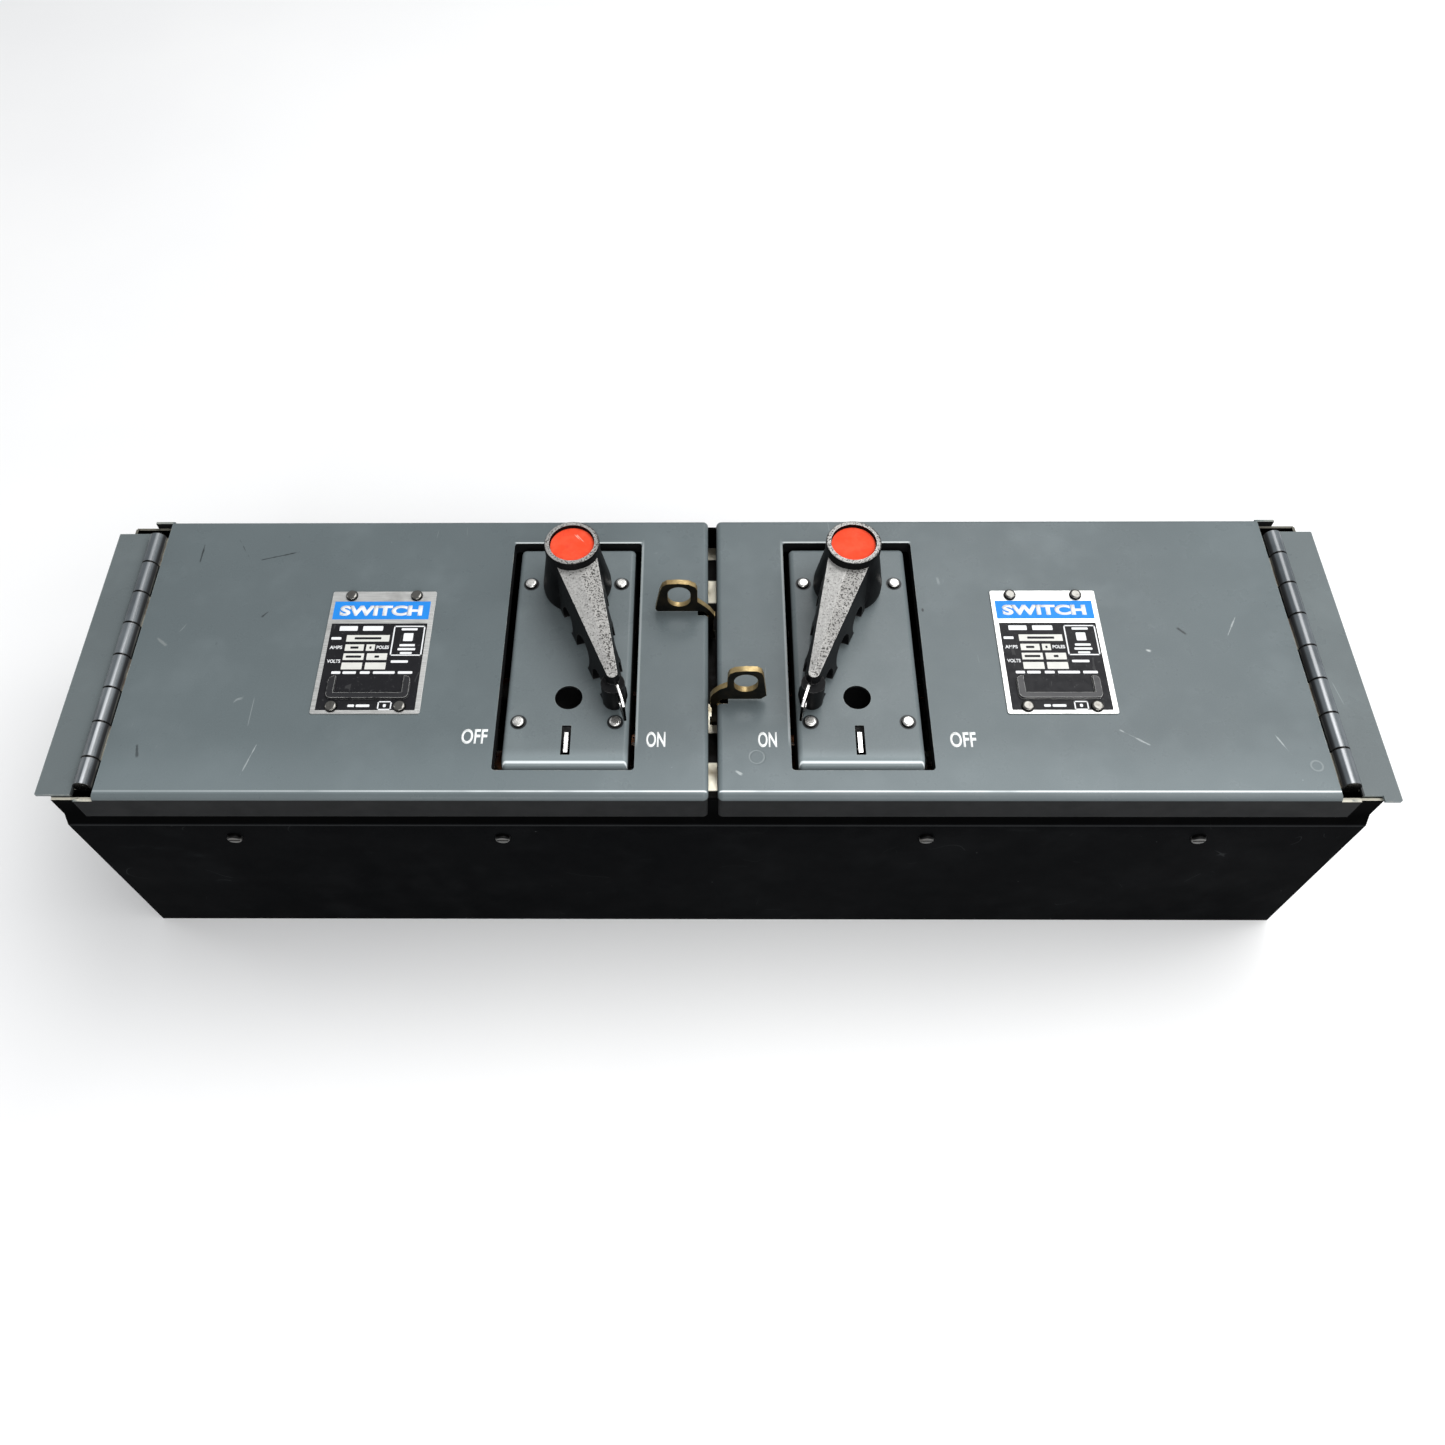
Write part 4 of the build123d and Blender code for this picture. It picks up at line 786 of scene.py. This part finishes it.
def words(name, text, centre, width, height, thickness, bold, z):
    """Raised lettering, fitted to a box, as a mesh."""
    curve = bpy.data.curves.new(name, "FONT")
    curve.body = text
    curve.align_x = "CENTER"
    curve.align_y = "CENTER"
    curve.offset = bold
    curve.resolution_u = 6
    shape = bpy.data.objects.new(name + "_line", curve)
    bpy.context.scene.collection.objects.link(shape)
    bpy.context.view_layer.update()
    mesh = bpy.data.meshes.new_from_object(shape.evaluated_get(bpy.context.evaluated_depsgraph_get()))
    bpy.data.objects.remove(shape)
    xs = [v.co.x for v in mesh.vertices]
    ys = [v.co.y for v in mesh.vertices]
    scale_x = width / (max(xs) - min(xs))
    scale_y = height / (max(ys) - min(ys))
    mid = Vector(((max(xs) + min(xs)) / 2, (max(ys) + min(ys)) / 2, 0))
    bm = bmesh.new()
    bm.from_mesh(mesh)
    for v in bm.verts:
        v.co = Vector(((v.co.x - mid.x) * scale_x + centre[0], (v.co.y - mid.y) * scale_y + centre[1], z))
    raised = bmesh.ops.extrude_face_region(bm, geom=bm.faces[:])
    for item in raised["geom"]:
        if isinstance(item, bmesh.types.BMVert):
            item.co.z += thickness
    bmesh.ops.recalc_face_normals(bm, faces=bm.faces)
    bm.to_mesh(mesh)
    bm.free()
    mesh.name = name
    piece = bpy.data.objects.new(name, mesh)
    bpy.context.scene.collection.objects.link(piece)
    return piece


# ------------------------------------------------------------------ lettering
PAINT_T = 0.06 * MM
# word, middle in X and Y, width and height in millimetres
DOOR_WORDS = {
    "left": (("on", "ON", -30.3, -57.9, 10.2, 9.5), ("off", "OFF", -127.0, -56.0, 13.8, 9.2)),
    "right": (("on", "ON", 28.9, -58.0, 10.0, 9.4), ("off", "OFF", 132.4, -58.0, 13.8, 9.4)),
}
for side, rows in DOOR_WORDS.items():
    for name, text, x, y, width, height in rows:
        mark = words(f"{side}_{name}_mark", text, (x * MM, y * MM), width * MM, height * MM, PAINT_T, 0.022,
                     DOOR_TOP)
        finish_piece(mark, f"{side}_door", "white")


# ------------------------------------------------------------------ nameplate print
# across from the plate's middle, down from its top edge, width and height, all in millimetres
HEADING_BAND = {"heading": (-0.3, 13.4, 54.7, 12.5)}
BLACK_FIELD = {"field": (-0.1, 51.3, 54.1, 57.5)}
SILVER_BOXES = {
    "type": (-5.2, 32.8, 24.1, 4.4),
    "amps": (-11.9, 39.1, 10.5, 4.3),
    "poles": (-2.9, 39.1, 4.8, 4.3),
    "volts": (-11.5, 45.2, 11.5, 4.4),
    "power": (1.5, 45.2, 11.3, 4.4),
    "spare_left": (-11.6, 51.4, 11.4, 4.5),
    "spare_right": (1.5, 51.4, 11.5, 4.5),
}
WHITE_BARS = {
    "title_1": (-17.1, 26.0, 10.2, 3.2),
    "title_2": (-3.3, 26.0, 11.3, 3.2),
    "label_type": (-23.0, 32.8, 5.6, 1.7),
    "label_power": (14.5, 48.5, 9.5, 1.6),
    "line_1": (-19.6, 55.8, 5.0, 1.7),
    "line_2": (-12.2, 55.8, 7.4, 1.7),
    "line_3": (-3.6, 55.8, 5.4, 1.7),
    "line_4": (6.9, 55.8, 12.0, 1.7),
    "line_5": (18.6, 55.8, 8.0, 1.7),
    "square_1": (17.4, 26.6, 9.0, 1.5),
    "square_2": (17.4, 37.5, 8.7, 1.5),
    "square_3": (17.3, 40.2, 9.9, 1.5),
    "square_4": (17.3, 42.8, 6.7, 1.4),
    "foot_1": (-8.0, 77.3, 3.6, 1.6),
    "foot_2": (-1.6, 77.3, 7.4, 1.6),
    "foot_3": (10.2, 77.2, 1.6, 1.9),
    "square_mark": (17.3, 32.0, 5.4, 5.4),
}
DARK_BARS = {
    "type_value": (-5.2, 32.8, 15.0, 1.5),
    "amps_value": (-11.9, 39.1, 4.6, 1.5),
    "poles_value": (-2.9, 39.1, 1.2, 1.6),
    "volts_value": (-11.5, 45.2, 8.6, 1.5),
    "power_value": (1.5, 45.2, 2.6, 1.5),
}
# as above, and the width of the line
FRAMES = ((17.3, 34.4, 16.9, 19.6, 0.75), (10.2, 77.2, 6.9, 4.9, 0.7))
# word, across, down and width
CAPTIONS = (("AMPS", -22.3, 38.9, 7.0), ("POLES", 3.9, 38.9, 6.9), ("VOLTS", -22.1, 48.2, 7.4))
CAPTION_HEIGHT = 2.3
PLATE_T = 0.8 * MM
INK_T = 0.03 * MM


def frame_sides():
    """The four bars of each printed frame."""
    bars = {}
    for i, (across, down, width, height, line) in enumerate(FRAMES):
        for sign in (-1, 1):
            bars[i, sign, "level"] = (across, down + sign * height / 2, width + line, line)
            bars[i, sign, "upright"] = (across + sign * width / 2, down, line, height + line)
    return bars


def plate_print(side):
    """Blue heading band, black field, silver value boxes and generic captions and bars."""
    low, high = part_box(f"{side}_nameplate")
    middle = (low.x + high.x) / 2
    face = DOOR_TOP + PLATE_T

    def patches(name, rows, look, level, radius):
        """Printed rectangles of one colour, level counted up in ink layers."""
        base = face + level * INK_T

        def build(bm):
            for row in rows.values():
                across, down, width, height = (value * MM for value in row)
                outline = round_rectangle(middle + across, high.y - down, width, height, radius * MM)
                outline_prism(bm, outline, base, base + INK_T)
        finish_piece(mesh_piece(f"{side}_{name}", build), f"{side}_door", look)

    def caption(name, text, across, down, width, height, bold):
        centre = (middle + across * MM, high.y - down * MM)
        piece = words(f"{side}_{name}_words", text, centre, width * MM, height * MM, INK_T, bold,
                      face + INK_T)
        finish_piece(piece, f"{side}_door", "ink_white")

    patches("heading_band", HEADING_BAND, "ink_blue", 0, 0.3)
    patches("black_field", BLACK_FIELD, "ink_black", 0, 0.3)
    patches("value_boxes", SILVER_BOXES, "ink_silver", 1, 0.25)
    patches("bars", WHITE_BARS, "ink_white", 1, 0.5)
    patches("values", DARK_BARS, "ink_black", 2, 0.4)
    patches("frames", frame_sides(), "ink_white", 1, 0.2)
    caption("heading", "SWITCH", -0.5, 13.6, 47.0, 7.2, 0.05)
    for text, across, down, width in CAPTIONS:
        caption(text.lower(), text, across, down, width, CAPTION_HEIGHT, 0.035)


for side in SIDES:
    plate_print(side)


# ------------------------------------------------------------------ fuse ferrules
TUBES_LOW, TUBES_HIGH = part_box("fuse_tubes")
TUBE_R = (TUBES_HIGH.z - TUBES_LOW.z) / 2
TUBE_Z = (TUBES_HIGH.z + TUBES_LOW.z) / 2
TUBE_OUT = TUBES_HIGH.x
TUBE_LENGTH = 98 * MM
TUBE_IN = TUBE_OUT - TUBE_LENGTH
POLE_PITCH = 56 * MM
FERRULE_LENGTH = 17 * MM
FERRULE_R = TUBE_R + 0.5 * MM
# share of the length, from the tube's end inward, and share of the radius
FERRULE_PROFILE = ((0.0, 0.35), (0.0, 0.92), (0.06, 1.0), (0.55, 1.0), (0.62, 0.965), (0.69, 1.0),
                   (0.96, 1.0), (1.0, 0.985))
FERRULE_STEPS = 40


def ferrule(bm, end_x, y, inward):
    """A drawn cap round one end of a fuse tube, with a rolled groove, lathed about X."""
    turns = [2 * math.pi * i / FERRULE_STEPS for i in range(FERRULE_STEPS)]
    rings = []
    for along, out in FERRULE_PROFILE:
        x = end_x + inward * along * FERRULE_LENGTH
        r = out * FERRULE_R
        rings.append([bm.verts.new((x, y + r * math.cos(turn), TUBE_Z + r * math.sin(turn)))
                      for turn in turns])
    for a, b in zip(rings, rings[1:]):
        for i in range(FERRULE_STEPS):
            j = (i + 1) % FERRULE_STEPS
            bm.faces.new((a[i], a[j], b[j], b[i]))
    bm.faces.new(rings[0])
    bm.faces.new(rings[-1][::-1])


for side, sign in SIDES.items():
    def build_ferrules(bm):
        for y in (-POLE_PITCH, 0.0, POLE_PITCH):
            ferrule(bm, sign * TUBE_OUT, y, -sign)
            ferrule(bm, sign * TUBE_IN, y, sign)
    finish_piece(mesh_piece(f"{side}_fuse_ferrules", build_ferrules), "enclosure", "ferrule")


# ------------------------------------------------------------------ stage
def area_light(name, place, target, size, power):
    """A rectangular studio light aimed at target."""
    data = bpy.data.lights.new(name, "AREA")
    data.shape = "RECTANGLE"
    data.size, data.size_y = size
    data.energy = power
    light = bpy.data.objects.new(name, data)
    bpy.context.scene.collection.objects.link(light)
    light.location = place
    light.rotation_mode = "QUATERNION"
    light.rotation_quaternion = (Vector(target) - Vector(place)).to_track_quat("-Z", "Y")


def build_floor(bm):
    outline_prism(bm, round_rectangle(0, 0, 12, 12, 1.0), -0.02, 0.0)


floor = mesh_piece("floor", build_floor)
floor.data.materials.append(pale_floor())

area_light("overhead", (0.75, 0.55, 1.9), (0, 0, 0.1), (2.2, 1.3), 38)
area_light("front_soft", (0.45, -1.15, 1.50), (0, 0, 0.16), (2.4, 0.6), 13)
area_light("front_edge", (0.30, -1.66, 1.20), (0, 0, 0.16), (2.2, 0.07), 9)
area_light("left_rim", (-1.7, 0.5, 0.9), (0, 0, 0.15), (0.5, 1.2), 2.5)
area_light("right_rim", (1.7, 0.4, 0.9), (0, 0, 0.15), (0.5, 1.2), 3)

world = bpy.data.worlds.new("studio")
world.use_nodes = True
sky = world.node_tree.nodes["Background"].inputs
sky["Color"].default_value = (0.95, 0.97, 1.0, 1)
sky["Strength"].default_value = 0.40
bpy.context.scene.world = world
bpy.context.scene.view_settings.view_transform = "Standard"


# the photograph's viewpoint, worked out from the front's straight edges and right angles
EYE = Vector((-3.13, -380.16, 711.85)) * MM
PITCH, YAW, ROLL = (math.radians(a) for a in (58.19, -1.30, 1.125))
FOCAL_LENGTH = 29.997
SHIFT = (0.02072, -0.01039)


def photo_camera():
    """A camera in front of the near edge, looking steeply down."""
    ahead = Vector((math.sin(YAW) * math.cos(PITCH), math.cos(YAW) * math.cos(PITCH), -math.sin(PITCH)))
    level = Vector((math.cos(YAW), -math.sin(YAW), 0))
    down = ahead.cross(level)
    right = math.cos(ROLL) * level + math.sin(ROLL) * down
    up = math.sin(ROLL) * level - math.cos(ROLL) * down
    data = bpy.data.cameras.new("camera")
    data.sensor_width = 36.0
    data.lens = FOCAL_LENGTH
    data.shift_x, data.shift_y = SHIFT
    data.clip_start, data.clip_end = 0.01, 100.0
    camera = bpy.data.objects.new("camera", data)
    bpy.context.scene.collection.objects.link(camera)
    camera.matrix_world = Matrix.Translation(EYE) @ Matrix((right, up, -ahead)).transposed().to_4x4()
    bpy.context.scene.camera = camera


photo_camera()
